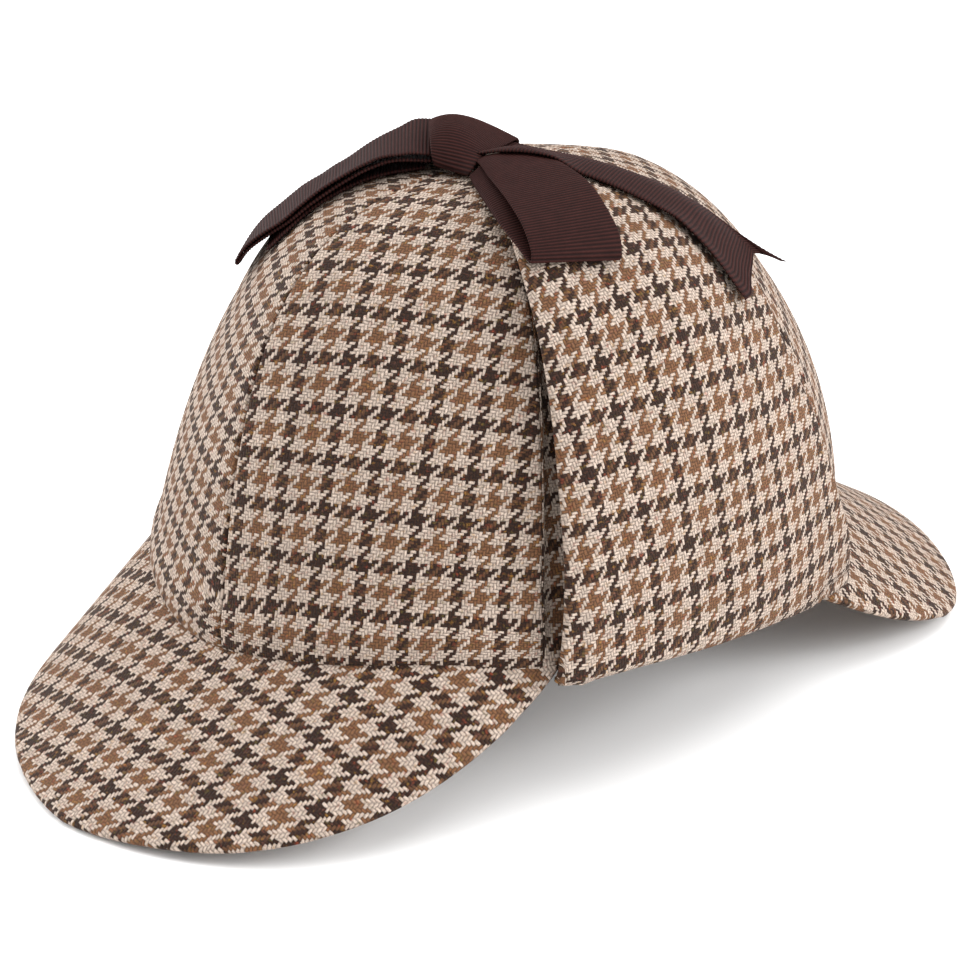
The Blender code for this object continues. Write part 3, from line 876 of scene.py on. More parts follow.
@dataclass
class Crown:
    """Six panels that meet in plain seams.

    Here and in the classes below, the shift is where the crown's axis stands, in millimetres. The foot of
    a front or back panel swells over its turned-in edge. The left panel has a crease beside its front
    seam, under the flap's edge.
    """

    form: CrownForm
    tweed: Material
    shift: np.ndarray
    wall: float = 2.0
    span: float = 60.0
    seam_radius: float = 1.1
    hem_radius: float = 1.4
    stride: float = 1.9
    columns: int = 44
    climb_steps: int = 600
    turn_steps: int = 61
    top_climb: float = 0.9985
    side_foot: float = 0.002
    soft_depth: float = 0.35
    soft_wave: float = 60.0
    foot_roll: float = 0.9
    foot_roll_reach: float = 13.0
    foot_roll_fade: float = 9.0
    crease_depth: float = 4.6
    crease_across: tuple[float, ...] = (0.0, 0.4, 1.8, 8.0, 14.0)
    crease_share: tuple[float, ...] = (0.0, 0.1, 1.0, 1.0, 0.0)
    crease_climb: tuple[float, ...] = (0.0, 0.06, 0.45, 0.75)
    crease_fade: tuple[float, ...] = (0.0, 1.0, 1.0, 0.0)
    panels: tuple[Panel, ...] = (
        Panel("front_left", -90.0, Cut((8.9, 4.2), 3.5, 0.96)),
        Panel("left", -30.0),
        Panel("back_left", 30.0, Cut((3.0, 6.0), -4.0, 0.98)),
        Panel("back_right", 90.0, Cut((8.0, 2.0), 3.0, 0.98)),
        Panel("right", 150.0),
        Panel("front_right", 210.0, Cut((9.6, 6.2), 4.5, 0.94)),
    )

    def build(self) -> list[Object]:
        """Build and dress the panels.

        Returns:
            One object for each panel.
        """
        pieces = []
        for panel in self.panels:
            cloth = self._panel(panel)
            piece = cloth.make(f"crown_{panel.name}", self.tweed, self.shift)
            cloth.dress(piece, f"crown_panel_{panel.name}", Slot.TWEED, Held.STRETCHED, "front_peak")
            pieces.append(piece)
        return pieces

    def _panel(self, panel: Panel) -> Cloth:
        """Lay out one panel.

        Args:
            panel: The panel.

        Returns:
            Its cloth.
        """
        foot = self.side_foot if panel.beside_flap else 0.0
        climbs = np.linspace(foot, self.top_climb, self.climb_steps)
        run = lengths(self.form.point(panel.first_seam + self.span / 2, climbs), 0)
        count = int(round((run[-1] - 2 * self.hem_radius) / self.stride))
        rows = []
        half = []
        sink = []
        for mark in even_marks(run[-1], self.hem_radius, count):
            climb = float(np.interp(mark, run, climbs))
            seams = [self.form.seam(panel.first_seam + across, climb) for across in (0.0, self.span)]
            turns = np.linspace(*seams, self.turn_steps)
            along = lengths(self.form.point(turns, climb), 0)
            across = even_marks(along[-1], self.seam_radius, self.columns)
            rows.append(self.form.point(np.interp(across, along, turns), climb))
            sink.append(self._crease(panel, across, climb) - self._roll(panel, across, mark))
            from_seam = np.minimum(across, along[-1] - across)
            from_end = np.array(min(mark, run[-1] - mark))
            half.append(rounded(from_seam, self.seam_radius) * rounded(from_end, self.hem_radius))
        outer = np.array(rows)
        normals = grid_normals(outer)
        rise = softness(outer, self.soft_depth, self.soft_wave) - np.array(sink)
        outer = outer + normals * rise[..., None]
        flat = panel.cut.lay(flatten(outer, outer.shape[1] // 2))
        return Cloth(outer - normals * self.wall / 2, flat, self.wall / 2 * np.array(half), normals)

    def _roll(self, panel: Panel, across: np.ndarray, mark: float) -> np.ndarray:
        """How far a panel swells over its turned-in foot, which is nothing at the side seams.

        Args:
            panel: The panel.
            across: Places across it.
            mark: Distance above its foot.

        Returns:
            The swell at each place.
        """
        if panel.beside_flap:
            return np.zeros_like(across)
        from_side = across if panel.name in ("back_left", "front_right") else across[-1] - across
        swell = self.foot_roll * math.sin(math.pi * min(mark / self.foot_roll_reach, 1.0))
        return swell * np.clip(from_side / self.foot_roll_fade, 0.0, 1.0)

    def _crease(self, panel: Panel, across: np.ndarray, climb: float) -> np.ndarray:
        """Depth of the left panel's crease.

        Args:
            panel: The panel.
            across: Places across it.
            climb: 0 at the lower edge and 1 at the apex.

        Returns:
            The depth at each place.
        """
        if panel.name != "left":
            return np.zeros_like(across)
        fade = np.interp(climb, self.crease_climb, self.crease_fade)
        return self.crease_depth * fade * np.interp(across, self.crease_across, self.crease_share)


@dataclass
class Peak:
    """A peak of two layers sewn together and pressed to a rounded rim.

    Its way is -1 to the front and 1 to the back. Its ground slope is found on a rough grid of columns
    and rows.
    """

    form: CrownForm
    tweed: Material
    shift: np.ndarray
    name: str
    way: int
    half_span: float
    length: float
    squareness: float
    bluntness: float
    fan: float
    arch: float
    cut: Cut
    thickness: float = 2.5
    inside: float = 1.7
    rim: float = 1.25
    rim_step: float = 0.4
    columns: int = 170
    stride: float = 1.9
    least_length: float = 1.5
    rough_grid: tuple[int, int] = (30, 5)
    steepest: float = 60.0
    halvings: int = 40

    def build(self) -> Object:
        """Build and dress the peak, sloped until it meets the ground.

        Returns:
            The peak.
        """
        grid, flat = self._upper(self._ground_slope(), self.columns)
        rim = np.concatenate([grid[:, 0], grid[-1], grid[::-1, -1]])
        rim = resample(rim, np.arange(0.0, lengths(rim, 0)[-1], self.rim_step))
        half = self.thickness / 2 * rounded(rim_distance(grid, rim), self.rim)
        normals = grid_normals(grid)
        if normals[..., 2].mean() < 0:
            grid, flat, half = grid[:, ::-1], flat[:, ::-1], half[:, ::-1]
            normals = grid_normals(grid)
        cloth = Cloth(grid - normals * self.thickness / 2, flat, half, normals)
        piece = cloth.make(self.name.replace("_", "_brim_"), self.tweed, self.shift)
        cloth.dress(piece, self.name, Slot.TWEED, Held.STRETCHED, "crown_panel_front_left")
        return piece

    def axis(self) -> np.ndarray:
        """Find the crown's axis from where this peak's solid ends.

        Returns:
            The axis's place in the frame, in millimetres.
        """
        low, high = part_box(self.name)
        reach = self._upper(self._ground_slope(), *self.rough_grid)[0][..., 1].min()
        return np.array([(low.x + high.x) / 2 / MM, low.y / MM - reach, 0.0])

    def _upper(self, slope: float, columns: int, rows: Optional[int] = None) -> tuple[np.ndarray, np.ndarray]:
        """Lay out the upper face at a slope.

        Args:
            slope: The slope at the middle, in radians.
            columns: Steps across.
            rows: Even rows along, or None for rows that are close together at the rim.

        Returns:
            The face's points and their places on the tweed.
        """
        across = np.sin(np.linspace(-math.pi / 2, math.pi / 2, columns + 1))
        start = self.form.point(self.way * 90.0 - self.way * across * self.half_span, 0.0)
        outline = np.maximum(1.0 - np.abs(across) ** self.squareness, 0.0) ** self.bluntness
        length = np.maximum(self.length * outline, self.least_length)
        if rows is None:
            steps = int(self.length / self.stride)
            marks = np.array([even_marks(one + self.inside, self.rim, steps) for one in length]).T
            marks = marks - self.inside
        else:
            marks = np.linspace(0.0, 1.0, rows)[:, None] * length
        spread = np.radians(self.fan * across)
        level = np.stack([np.sin(spread), self.way * np.cos(spread), np.zeros_like(spread)], axis=-1)
        ruling = level * math.cos(slope)
        ruling[:, 2] = -math.sin(slope) - self.arch * across ** 2 / self.length
        middle = np.array([0.0, self.way * math.cos(slope), -math.sin(slope)])
        along = start @ middle
        width = lengths(start - along[:, None] * middle, 0)
        side = width - width[-1] / 2 + marks * np.sin(spread)
        flat = np.stack([side, along + marks * np.cos(spread)], axis=-1)
        return start + marks[..., None] * ruling, self.cut.lay(flat * (-self.way, -1.0))

    def _ground_slope(self) -> float:
        """Find the slope at which the lower face's lowest corner meets the ground.

        Returns:
            The slope, in radians.
        """
        low, high = 0.0, math.radians(self.steepest)
        for _ in range(self.halvings):
            slope = (low + high) / 2
            upper = self._upper(slope, *self.rough_grid)[0]
            lowest = upper[..., 2].min() - self.thickness * math.cos(slope)
            low, high = (slope, high) if lowest > 0 else (low, slope)
        return slope


@dataclass
class EarFlap:
    """An ear flap folded at its foot and turned up: its front stands off the crown, its back lies on it.

    It is laid out as the left flap, and mirror is -1 for the right one. Its edges are turns at the climbs
    of edge_climb, and its distances outside the crown are at those of climb. Between its tucked and its
    free turns it is folded round the crown's edge. A closeness of 1 lays its front on the crown too.
    """

    form: CrownForm
    tweed: Material
    shift: np.ndarray
    name: str
    mirror: int
    drawn_back: float
    tip: float
    closeness: float
    cut: Cut
    thickness: float = 2.8
    rim: float = 1.4
    tall: float = 170.0
    stride: float = 1.9
    columns: int = 60
    sections: int = 41
    curve_steps: int = 12
    edge_climb: tuple[float, ...] = (0.0, 0.07, 0.15, 0.25, 0.36, 0.45, 0.55, 0.7, 1.0)
    front_edge: tuple[float, ...] = (-29.3, -29.9, -31.0, -32.3, -33.0, -33.3, -33.6, -33.7, -33.7)
    back_edge: tuple[float, ...] = (31.5, 28.7, 25.6, 24.0, 23.4, 26.0, 29.5, 31.0, 31.0)
    tuck_ends: tuple[float, float] = (-28.3, 18.0)
    free_starts: tuple[float, float] = (-29.2, 22.0)
    tuck_out: tuple[float, ...] = (-0.8, 1.5, 3.4)
    tuck_rise: tuple[float, ...] = (-1.6, -1.7, -1.2)
    free_inside: float = 0.3
    free_drop: float = 1.2
    free_step: float = 0.5
    free_hem_rise: float = 0.4
    standoff: float = 4.8
    hem_rise: float = -0.1
    hem_droop: float = 1.1
    climb: tuple[float, ...] = (0.05, 0.13, 0.24, 0.36, 0.48, 0.6, 0.7, 0.79, 0.87, 0.92)
    front_out: tuple[float, ...] = (5.3, 5.5, 5.5, 5.4, 5.0, 4.2, 3.2, 2.4, 2.1, 2.0)
    back_out: tuple[float, ...] = (3.8, 3.2, 3.0, 2.8, 2.6, 2.3, 2.1, 2.0, 2.0, 2.0)
    lean_start: float = 0.45
    tip_out: float = 2.0
    spine: int = 24
    ridge_behind: float = 9.5
    ridge_height: float = 0.6
    ridge_width: float = 1.8
    soft_depth: float = 0.45
    soft_wave: float = 70.0
    soft_from_foot: float = 20.0

    def build(self) -> Object:
        """Build and dress the flap.

        Returns:
            The flap.
        """
        base = np.linspace(0.0, 1.0, self.sections)
        coarse = np.array([self._section(share) for share in base])
        run = lengths(coarse[:, coarse.shape[1] // 3], 0)
        marks = even_marks(run[-1], self.rim, self.columns)
        grid = np.array([self._section(share) for share in np.interp(marks, run, base)]).transpose(1, 0, 2)
        normals = grid_normals(grid)
        from_front = lengths(grid, 1)
        from_foot = lengths(grid, 0)
        apart = np.minimum.reduce([from_front, from_front[:, -1:] - from_front,
                                   from_foot, from_foot[-1:] - from_foot])
        half = self.thickness / 2 * rounded(apart, self.rim)
        ridge = self.ridge_height * np.exp(-((from_front - self.ridge_behind) / self.ridge_width) ** 2)
        soft = softness(grid, self.soft_depth, self.soft_wave)
        soft = soft * np.clip(from_foot / self.soft_from_foot, 0.0, 1.0)
        flat = self.cut.lay(flatten(grid, self.spine))
        grid = grid + normals * (ridge + soft)[..., None]
        if self.mirror < 0:
            grid, flat, half = grid[:, ::-1] * (-1.0, 1.0, 1.0), flat[:, ::-1], half[:, ::-1]
        cloth = Cloth(grid, flat, half)
        piece = cloth.make(f"{self.name}_turned_up", self.tweed, self.shift)
        side = "left" if self.mirror > 0 else "right"
        cloth.dress(piece, self.name, Slot.TWEED, Held.FOLDED, f"crown_panel_{side}")
        return piece

    def _turn(self, share: float, climb: float) -> float:
        """Turn at a place on the flap.

        Args:
            share: Share of the way from the front edge to the back edge.
            climb: 0 at the crown's lower edge and 1 at its apex.

        Returns:
            The turn.
        """
        front = float(np.interp(climb, self.edge_climb, self.front_edge)) + self.drawn_back
        back = float(np.interp(climb, self.edge_climb, self.back_edge))
        return front + share * (back - front)

    def _section(self, share: float) -> np.ndarray:
        """Line from the foot up to the tip, on the left side.

        Args:
            share: Share of the way from the front edge to the back edge.

        Returns:
            The line's points.
        """
        turn = self._turn(share, 0.0)
        ramps = [(turn - end) / (start - end) for start, end in zip(self.free_starts, self.tuck_ends)]
        free = float(np.clip(max(ramps), 0.0, 1.0))
        lean = float(np.clip((share - self.lean_start) / (1.0 - self.lean_start), 0.0, 1.0))
        lean = self.closeness + (1.0 - self.closeness) * lean * lean * (3.0 - 2.0 * lean)
        standoff = self.standoff - lean * (self.front_out[0] - self.back_out[0])
        hem_rise = self.hem_rise - self.hem_droop * lean
        points = []
        for number, (out, rise) in enumerate(zip(self.tuck_out, self.tuck_rise)):
            foot = self.form.point(turn, 0.0, out + free * (standoff - self.free_inside - out))
            foot[2] += rise + free * (hem_rise - self.free_drop + self.free_step * number - rise)
            points.append(foot)
        hem = self.form.point(turn, 0.0, standoff)
        hem[2] += hem_rise + self.free_hem_rise * free
        points.append(hem)
        for climb, front, back in zip(self.climb, self.front_out, self.back_out):
            points.append(self.form.point(self._turn(share, climb), climb, front + lean * (back - front)))
        points.append(self.form.point(self._turn(share, self.tip), self.tip, self.tip_out))
        line = smooth_line(np.array(points), self.curve_steps)
        return resample(line, even_marks(lengths(line, 0)[-1], self.rim, int(self.tall / self.stride)))


# --- Bow -------------------------------------------------------------------


class Edge(NamedTuple):
    """Near and far edge of a ribbon: reach along its heading, side to the left, height over the apex."""

    near_reach: float
    near_side: float
    near_height: float
    far_reach: float
    far_side: float
    far_height: float


LOOP_RIGHT = (
    Edge(11.2, 10.6, 4.3, 11.2, -10.8, 8.9),
    Edge(16.6, 12.0, 5.1, 16.8, -12.2, 8.6),
    Edge(20.6, 12.7, 4.9, 21.1, -12.2, 6.5),
    Edge(25.5, 13.0, 4.2, 26.5, -12.2, 3.8),
    Edge(30.6, 13.8, 2.1, 31.7, -12.2, 0.5),
    Edge(35.7, 14.8, -0.5, 37.1, -11.4, -3.6),
    Edge(40.8, 15.4, -3.6, 41.8, -10.6, -7.1),
    Edge(45.8, 16.2, -7.4, 48.0, -10.0, -10.0),
    Edge(50.8, 16.6, -11.6, 53.4, -9.8, -14.0),
    Edge(55.6, 16.2, -14.8, 58.0, -9.8, -18.0),
    Edge(60.4, 15.2, -18.9, 62.2, -9.8, -23.8),
    Edge(62.9, 14.6, -22.4, 65.2, -9.8, -29.2),
    Edge(62.6, 14.6, -23.1, 64.8, -9.8, -29.8),
    Edge(59.4, 15.0, -19.2, 61.0, -9.8, -23.6),
    Edge(53.8, 16.0, -15.0, 55.2, -9.8, -17.2),
    Edge(48.5, 16.4, -11.6, 49.6, -10.0, -13.2),
    Edge(43.4, 15.9, -7.5, 44.0, -10.2, -9.8),
    Edge(38.3, 15.0, -4.0, 38.8, -10.6, -6.4),
    Edge(33.3, 14.0, -1.1, 33.6, -11.2, -3.2),
    Edge(28.1, 13.0, 1.4, 28.2, -11.6, -0.6),
    Edge(21.7, 12.2, 3.2, 21.7, -12.0, 2.0),
    Edge(12.0, 10.8, 2.8, 12.0, -10.8, 2.6),
)

LOOP_LEFT = (
    Edge(12.0, -6.6, 2.2, 8.0, 3.8, 1.9),
    Edge(18.0, -8.0, 2.6, 14.0, 6.6, 2.7),
    Edge(23.9, -9.4, 2.4, 21.0, 9.4, 3.6),
    Edge(30.3, -10.6, 1.9, 28.7, 10.6, 3.6),
    Edge(36.4, -11.5, 0.9, 35.6, 11.0, 2.9),
    Edge(42.5, -12.2, -0.7, 43.0, 10.8, 1.2),
    Edge(49.8, -13.0, -3.5, 50.4, 10.4, -2.2),
    Edge(54.8, -13.6, -7.0, 57.0, 10.0, -6.4),
    Edge(56.8, -14.0, -9.4, 60.0, 9.2, -10.4),
    Edge(56.2, -14.4, -11.0, 59.2, 8.8, -12.2),
    Edge(51.6, -15.0, -8.6, 53.4, 8.6, -7.6),
    Edge(42.2, -15.2, -5.1, 43.5, 8.6, -2.4),
    Edge(34.3, -14.0, -3.3, 35.2, 9.0, 0.0),
    Edge(25.4, -12.4, -1.6, 25.4, 8.6, 0.6),
    Edge(14.7, -9.9, 0.0, 12.0, 5.6, 0.4),
)

TAIL_BACK = (
    Edge(2.5, -11.4, 3.3, 5.5, 12.0, 2.9),
    Edge(10.0, -11.5, 3.9, 13.4, 12.0, 1.6),
    Edge(15.4, -11.4, 4.2, 18.8, 12.0, 0.9),
    Edge(22.0, -11.4, 3.8, 24.6, 12.0, 0.2),
    Edge(30.2, -11.7, 1.8, 31.5, 12.0, -1.2),
    Edge(38.5, -11.8, -0.7, 39.5, 12.0, -3.4),
    Edge(46.5, -11.8, -3.7, 47.5, 12.0, -6.2),
    Edge(55.0, -11.7, -7.4, 55.8, 12.0, -10.0),
    Edge(61.5, -11.7, -12.2, 61.9, 12.2, -13.9),
    Edge(66.2, -11.9, -17.2, 67.2, 12.3, -17.9),
    Edge(70.2, -12.0, -22.4, 71.0, 12.3, -20.9),
)

TAIL_FRONT = (
    Edge(14.0, 8.6, 0.6, 14.0, -15.2, 0.4),
    Edge(25.0, 9.4, -1.1, 24.6, -14.6, -1.6),
    Edge(33.7, 10.8, -4.0, 33.7, -13.2, -4.6),
    Edge(43.3, 14.4, -9.2, 43.3, -9.6, -10.4),
    Edge(49.5, 17.2, -14.2, 49.5, -6.8, -16.0),
    Edge(54.6, 17.6, -19.0, 55.2, -6.4, -21.4),
)

KNOT = (
    Edge(-9.0, -11.0, 1.6, -11.2, 9.6, 1.3),
    Edge(-13.1, -12.2, 5.6, -12.6, 10.6, 2.4),
    Edge(-11.4, -12.6, 8.6, -9.0, 9.8, 3.9),
    Edge(-3.0, -12.9, 9.2, -2.0, 6.9, 4.1),
    Edge(5.0, -12.8, 8.8, 5.5, 3.4, 4.2),
    Edge(10.8, -12.5, 6.6, 12.2, 0.4, 4.0),
    Edge(12.6, -11.8, 3.0, 16.8, -2.5, 0.9),
    Edge(9.4, -10.8, 1.4, 11.0, -2.4, 0.9),
)

# reach, side and height of the wrap's middle at each row
KNOT_MIDDLE = (
    (-9.5, -1.0, 1.3),
    (-12.9, -0.8, 4.2),
    (-9.6, -2.6, 9.2),
    (-1.8, -4.4, 11.2),
    (6.0, -5.4, 10.1),
    (11.8, -6.4, 6.0),
    (13.8, -7.4, 1.7),
    (9.8, -6.6, 1.2),
)


@dataclass
class Ribbon:
    """A strip of grosgrain ribbon that lies over what is under it, and over its own lower layer.

    Its edges are set out along its heading, in degrees from the wearer's left towards the back. The ribs
    stand on both faces and as fine teeth on the selvedges. At a notched end, the reach of each share of
    the width is drawn out over the notch's run, and the far point curls up.
    """

    form: CrownForm
    grosgrain: Material
    shift: np.ndarray
    name: str
    heading: float
    edges: tuple[Edge, ...]
    under: list[Object]
    middle: tuple[tuple[float, float, float], ...] = ()
    loop: bool = False
    notched: bool = False
    thickness: float = 0.75
    edge_radius: float = 0.5
    rib_pitch: float = GrosgrainRibbon.rib_pitch
    rib_steps: int = 6
    rib_depth: float = 0.16
    rib_teeth: float = 0.14
    across: int = 16
    row_steps: int = 8
    clearance: float = 0.15
    layer_gap: float = 0.35
    fold_rows: int = 9
    eased_rows: int = 2
    lift_step: float = 0.1
    most_lift: float = 15.0
    above_all: float = 300.0
    notch_shares: tuple[float, ...] = (0.0, 0.26, 0.44, 0.8, 1.0)
    notch_reach: tuple[float, ...] = (6.4, 7.2, 4.2, 0.8, 12.0)
    notch_run: float = 20.0
    notch_rows: int = 8
    far_curl: float = 4.0
    curl_start: float = 0.8

    def build(self) -> Object:
        """Build and dress the ribbon.

        Returns:
            The ribbon.
        """
        rows = self._lifted(self._rows())
        steps = lengths(rows[:, rows.shape[1] // 2], 0)
        stride = self.rib_pitch / self.rib_steps
        marks = np.arange(int(steps[-1] / stride) + 1) * stride
        grid = np.stack([np.stack([np.interp(marks, steps, values) for values in column.T], axis=-1)
                         for column in rows.transpose(1, 0, 2)], axis=1)
        across = lengths(grid, 1)
        flat = np.stack([across, np.broadcast_to(marks[:, None], across.shape)], axis=-1)
        wave = np.cos(2 * math.pi * marks / self.rib_pitch)[:, None]
        half = np.full(across.shape, self.thickness / 2) + self.rib_depth / 2 * wave
        half = half * rounded(np.minimum(across, across[:, -1:] - across), self.edge_radius)
        sideways = grid[:, -1] - grid[:, 0]
        sideways = self.rib_teeth * wave * sideways / np.linalg.norm(sideways, axis=-1)[:, None]
        grid[:, 0] -= sideways
        grid[:, -1] += sideways
        if self.notched:
            grid = self._notched(grid)
        cloth = Cloth(grid, flat, half)
        piece = cloth.make(f"{self.name}_ribbon", self.grosgrain, self.shift)
        cloth.dress(piece, self.name, Slot.RIBBON, Held.FOLDED, self.under[0].name)
        return piece

    def _place(self, reach: float, side: float, height: float) -> np.ndarray:
        """Point given from the apex.

        Args:
            reach: Distance along the heading.
            side: Distance to its left.
            height: Height over the apex.

        Returns:
            The point.
        """
        turn = math.radians(self.heading)
        along = np.array([math.cos(turn), math.sin(turn), 0.0])
        across = np.array([-along[1], along[0], 0.0])
        return self.form.point(0.0, 1.0) + reach * along + side * across + np.array([0.0, 0.0, height])

    def _rows(self) -> np.ndarray:
        """Lay rows of points along smooth curves through the two edges, and through the middle if given.

        Returns:
            The rows.
        """
        near = np.array([self._place(*edge[:3]) for edge in self.edges])
        far = np.array([self._place(*edge[3:]) for edge in self.edges])
        near, far = smooth_line(near, self.row_steps), smooth_line(far, self.row_steps)
        width = float(np.linalg.norm(far - near, axis=-1).mean())
        shares = 2.0 * even_marks(width, self.edge_radius, self.across)[:, None] / width - 1.0
        centre = (near + far) / 2
        middle = centre
        if self.middle:
            middle = smooth_line(np.array([self._place(*place) for place in self.middle]), self.row_steps)
        bend = (centre - middle)[:, None]
        return middle[:, None] + shares * (far - near)[:, None] / 2 + shares ** 2 * bend

    def _lifted(self, rows: np.ndarray) -> np.ndarray:
        """Raise the ribbon where it would cut into what lies under it, or a loop into its lower layer.

        Args:
            rows: The ribbon's rows.

        Returns:
            The raised rows.
        """
        raised = rows.copy()
        raised[..., 2] += self._lift(rows, surface_tree(self.under), self.thickness / 2 + self.clearance)
        if self.loop:
            fold = self.row_steps * int(np.argmax([edge.near_reach for edge in self.edges]))
            upper = raised[:fold - self.fold_rows]
            lower = grid_tree(raised[fold + self.fold_rows:] + self.shift)
            lift = self._lift(upper, lower, self.thickness + self.layer_gap)
            upper[..., 2] += lift
            span = 2 * self.fold_rows
            for step in range(span):
                raised[fold - self.fold_rows + step, :, 2] += (1.0 - (step + 1) / (span + 1)) * lift[-1]
        return raised

    def _lift(self, rows: np.ndarray, tree: BVHTree, clear: float) -> np.ndarray:
        """Lift that each point needs over a surface, with the raised part eased out around it.

        Args:
            rows: The ribbon's rows.
            tree: The surface.
            clear: Least distance from it.

        Returns:
            The lift of each point.
        """
        lift = np.array([[self._needed_lift(point, tree, clear) for point in row] for row in rows])
        span = range(2 * self.eased_rows + 1)
        for combine in (np.max, np.mean, np.mean):
            padded = np.pad(lift, self.eased_rows, mode="edge")
            shifted = [padded[r:r + lift.shape[0], c:c + lift.shape[1]] for r in span for c in span]
            lift = combine(shifted, axis=0)
        return lift

    def _needed_lift(self, point: np.ndarray, tree: BVHTree, clear: float) -> float:
        """Height by which a point must rise to lie clear of the surface below it.

        Args:
            point: The point.
            tree: The surface.
            clear: Least distance from it.

        Returns:
            The height.
        """
        start = Vector(point + self.shift)
        down = Vector((0.0, 0.0, -1.0))
        hit = tree.ray_cast(Vector((start.x, start.y, self.above_all)), down)[0]
        lift = max(hit.z - start.z, 0.0) if hit else 0.0
        while lift < self.most_lift and tree.find_nearest(start - down * lift)[3] < clear:
            lift += self.lift_step
        return lift

    def _notched(self, grid: np.ndarray) -> np.ndarray:
        """Draw the last rows out into the two points of a notched end.

        Args:
            grid: The ribbon's points.

        Returns:
            The points with the notch.
        """
        shares = np.linspace(0.0, 1.0, grid.shape[1])
        reach = np.interp(shares, self.notch_shares, self.notch_reach)
        onward = grid[-1] - grid[-self.notch_rows]
        onward /= np.linalg.norm(onward, axis=-1)[:, None]
        length = lengths(grid[:, grid.shape[1] // 2], 0)
        ramp = np.clip((length - length[-1] + self.notch_run) / self.notch_run, 0.0, 1.0)[:, None]
        drawn = grid + (ramp * reach)[..., None] * onward
        curled = np.clip((shares - self.curl_start) / (1.0 - self.curl_start), 0.0, 1.0)
        drawn[..., 2] += self.far_curl * ramp ** 2 * curled
        return drawn


# --- Studio ----------------------------------------------------------------


class SoftBox(NamedTuple):
    """A square soft box: its place and target in metres, its side in metres and its power in watts."""

    name: str
    place: tuple[float, float, float]
    target: tuple[float, float, float]
    side: float
    power: float


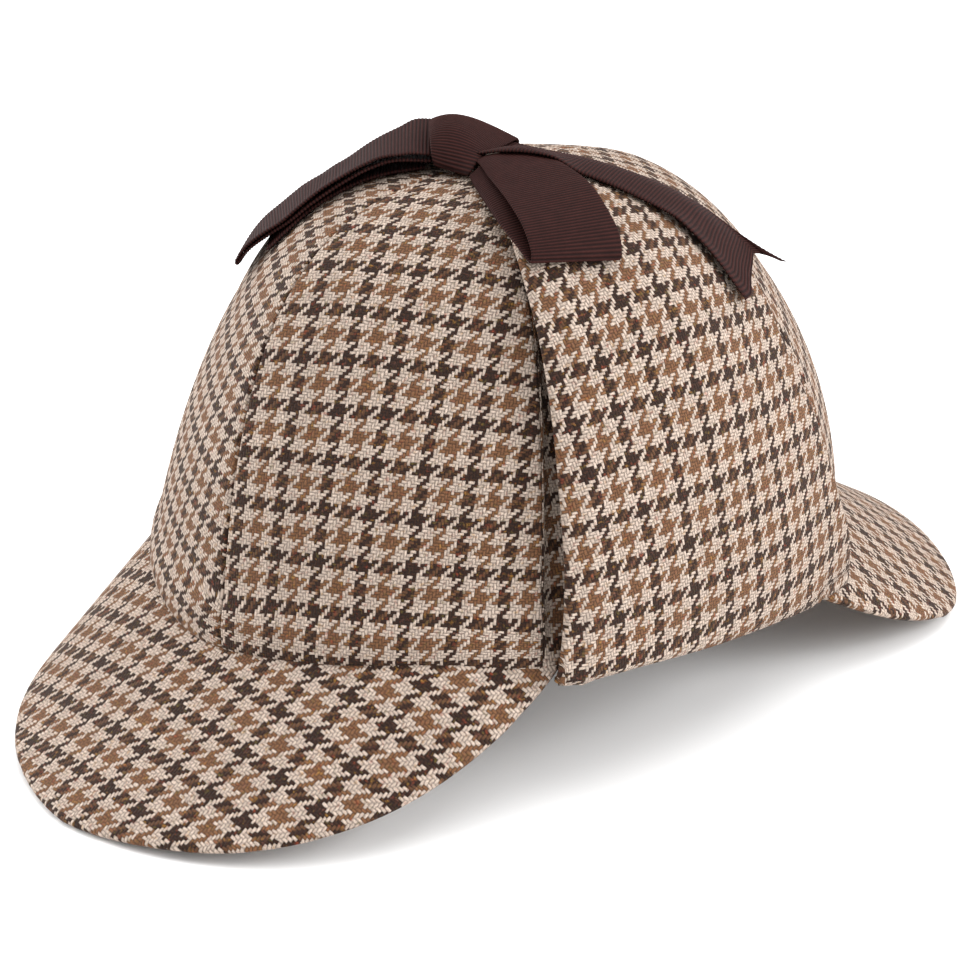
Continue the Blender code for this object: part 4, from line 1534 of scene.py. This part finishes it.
@dataclass
class Studio:
    """Pale floor, white surroundings, soft boxes and the camera at the photo's angle.

    The camera's place is in millimetres from the crown's axis, its angles are in degrees, and the floor's
    size is in metres.
    """

    shift: np.ndarray
    camera_place: tuple[float, float, float] = (457.3, -437.2, 293.2)
    azimuth: float = 46.6
    elevation: float = 21.0
    lens: float = 90.68
    sensor: float = 36.0
    clip: tuple[float, float] = (0.01, 50.0)
    floor_size: float = 12.0
    surroundings: float = 0.97
    boxes: tuple[SoftBox, ...] = (
        SoftBox("soft_box_above", (0.3, 0.1, 1.6), (0.0, 0.0, 0.0), 1.6, 19.0),
        SoftBox("soft_box_right", (1.35, 0.75, 0.75), (0.0, 0.0, 0.08), 0.9, 25.0),
        SoftBox("soft_box_left", (-1.35, -0.85, 0.6), (0.0, 0.0, 0.08), 0.9, 24.0),
    )

    def build(self) -> None:
        """Build the floor, the lights and the camera."""
        mesh = bpy.data.meshes.new("studio_floor")
        half = self.floor_size / 2
        corners = [(-half, -half, 0), (half, -half, 0), (half, half, 0), (-half, half, 0)]
        mesh.from_pydata(corners, [], [(0, 1, 2, 3)])
        mesh.materials.append(PaintedFloor().make())
        floor = bpy.data.objects.new("studio_floor", mesh)
        bpy.context.scene.collection.objects.link(floor)
        self._lights()
        self._camera()

    def _lights(self) -> None:
        """Set white surroundings and the soft boxes."""
        world = bpy.data.worlds.new("studio_white")
        world.use_nodes = True
        background = world.node_tree.nodes["Background"]
        background.inputs["Color"].default_value = (1.0, 1.0, 1.0, 1.0)
        background.inputs["Strength"].default_value = self.surroundings
        bpy.context.scene.world = world
        for box in self.boxes:
            light = bpy.data.lights.new(box.name, "AREA")
            light.shape = "SQUARE"
            light.size = box.side
            light.energy = box.power
            lamp = bpy.data.objects.new(box.name, light)
            lamp.location = box.place
            aim = Vector(box.target) - Vector(box.place)
            lamp.rotation_euler = aim.to_track_quat("-Z", "Y").to_euler()
            bpy.context.scene.collection.objects.link(lamp)
        view = bpy.context.scene.view_settings
        view.view_transform = "Standard"
        view.look = "None"

    def _camera(self) -> None:
        """Set the camera, which looks down at the hat's left front."""
        data = bpy.data.cameras.new("camera")
        data.lens = self.lens
        data.sensor_width = self.sensor
        data.clip_start, data.clip_end = self.clip
        camera = bpy.data.objects.new("camera", data)
        camera.location = Vector((np.array(self.camera_place) + self.shift) * MM)
        a, e = math.radians(self.azimuth), math.radians(self.elevation)
        back = Vector((math.sin(a) * math.cos(e), -math.cos(a) * math.cos(e), math.sin(e)))
        camera.rotation_euler = (-back).to_track_quat("-Z", "Y").to_euler()
        bpy.context.scene.collection.objects.link(camera)
        bpy.context.scene.camera = camera


def main() -> None:
    """Build the hat and its studio."""
    form = CrownForm()
    tweed = WoollenTweed().make()
    grosgrain = GrosgrainRibbon().make()
    front = Peak(form, tweed, np.zeros(3), "front_peak", way=-1, half_span=61.8, length=56.3, squareness=5.05,
                 bluntness=0.65, fan=2.4, arch=4.2, cut=Cut((6.0, 7.4), 2.5, 1.02))
    shift = front.shift = front.axis()
    LOG.info("crown axis at %s mm", shift.round(3))
    front.build()
    Studio(shift).build()
    panels = Crown(form, tweed, shift).build()
    Peak(form, tweed, shift, "back_peak", way=1, half_span=69.6, length=66.0, squareness=3.5,
         bluntness=0.204, fan=6.7, arch=-0.4, cut=Cut((5.3, 11.0), 17.5, 1.09)).build()
    left = EarFlap(form, tweed, shift, "ear_flap_left", mirror=1, drawn_back=0.0, tip=0.958,
                   closeness=0.0, cut=Cut((10.5, 8.4), -6.0, 0.96)).build()
    right = EarFlap(form, tweed, shift, "ear_flap_right", mirror=-1, drawn_back=14.0, tip=0.93,
                    closeness=0.75, cut=Cut((4.0, 1.0), 9.0, 0.98)).build()
    cloth = [*panels, left, right]
    tail = Ribbon(form, grosgrain, shift, "bow_tail_front", 226.6, TAIL_FRONT, cloth).build()
    Ribbon(form, grosgrain, shift, "bow_loop_right", 226.6, LOOP_RIGHT, [*cloth, tail], loop=True).build()
    loop = Ribbon(form, grosgrain, shift, "bow_loop_left", -17.0, LOOP_LEFT, cloth, loop=True).build()
    Ribbon(form, grosgrain, shift, "bow_tail_back", 30.0, TAIL_BACK, [*cloth, loop], notched=True).build()
    Ribbon(form, grosgrain, shift, "bow_knot", -43.4, KNOT, panels, middle=KNOT_MIDDLE).build()


if __name__ == "__main__":
    logging.basicConfig(level=logging.INFO, format="%(name)s: %(message)s")
    main()
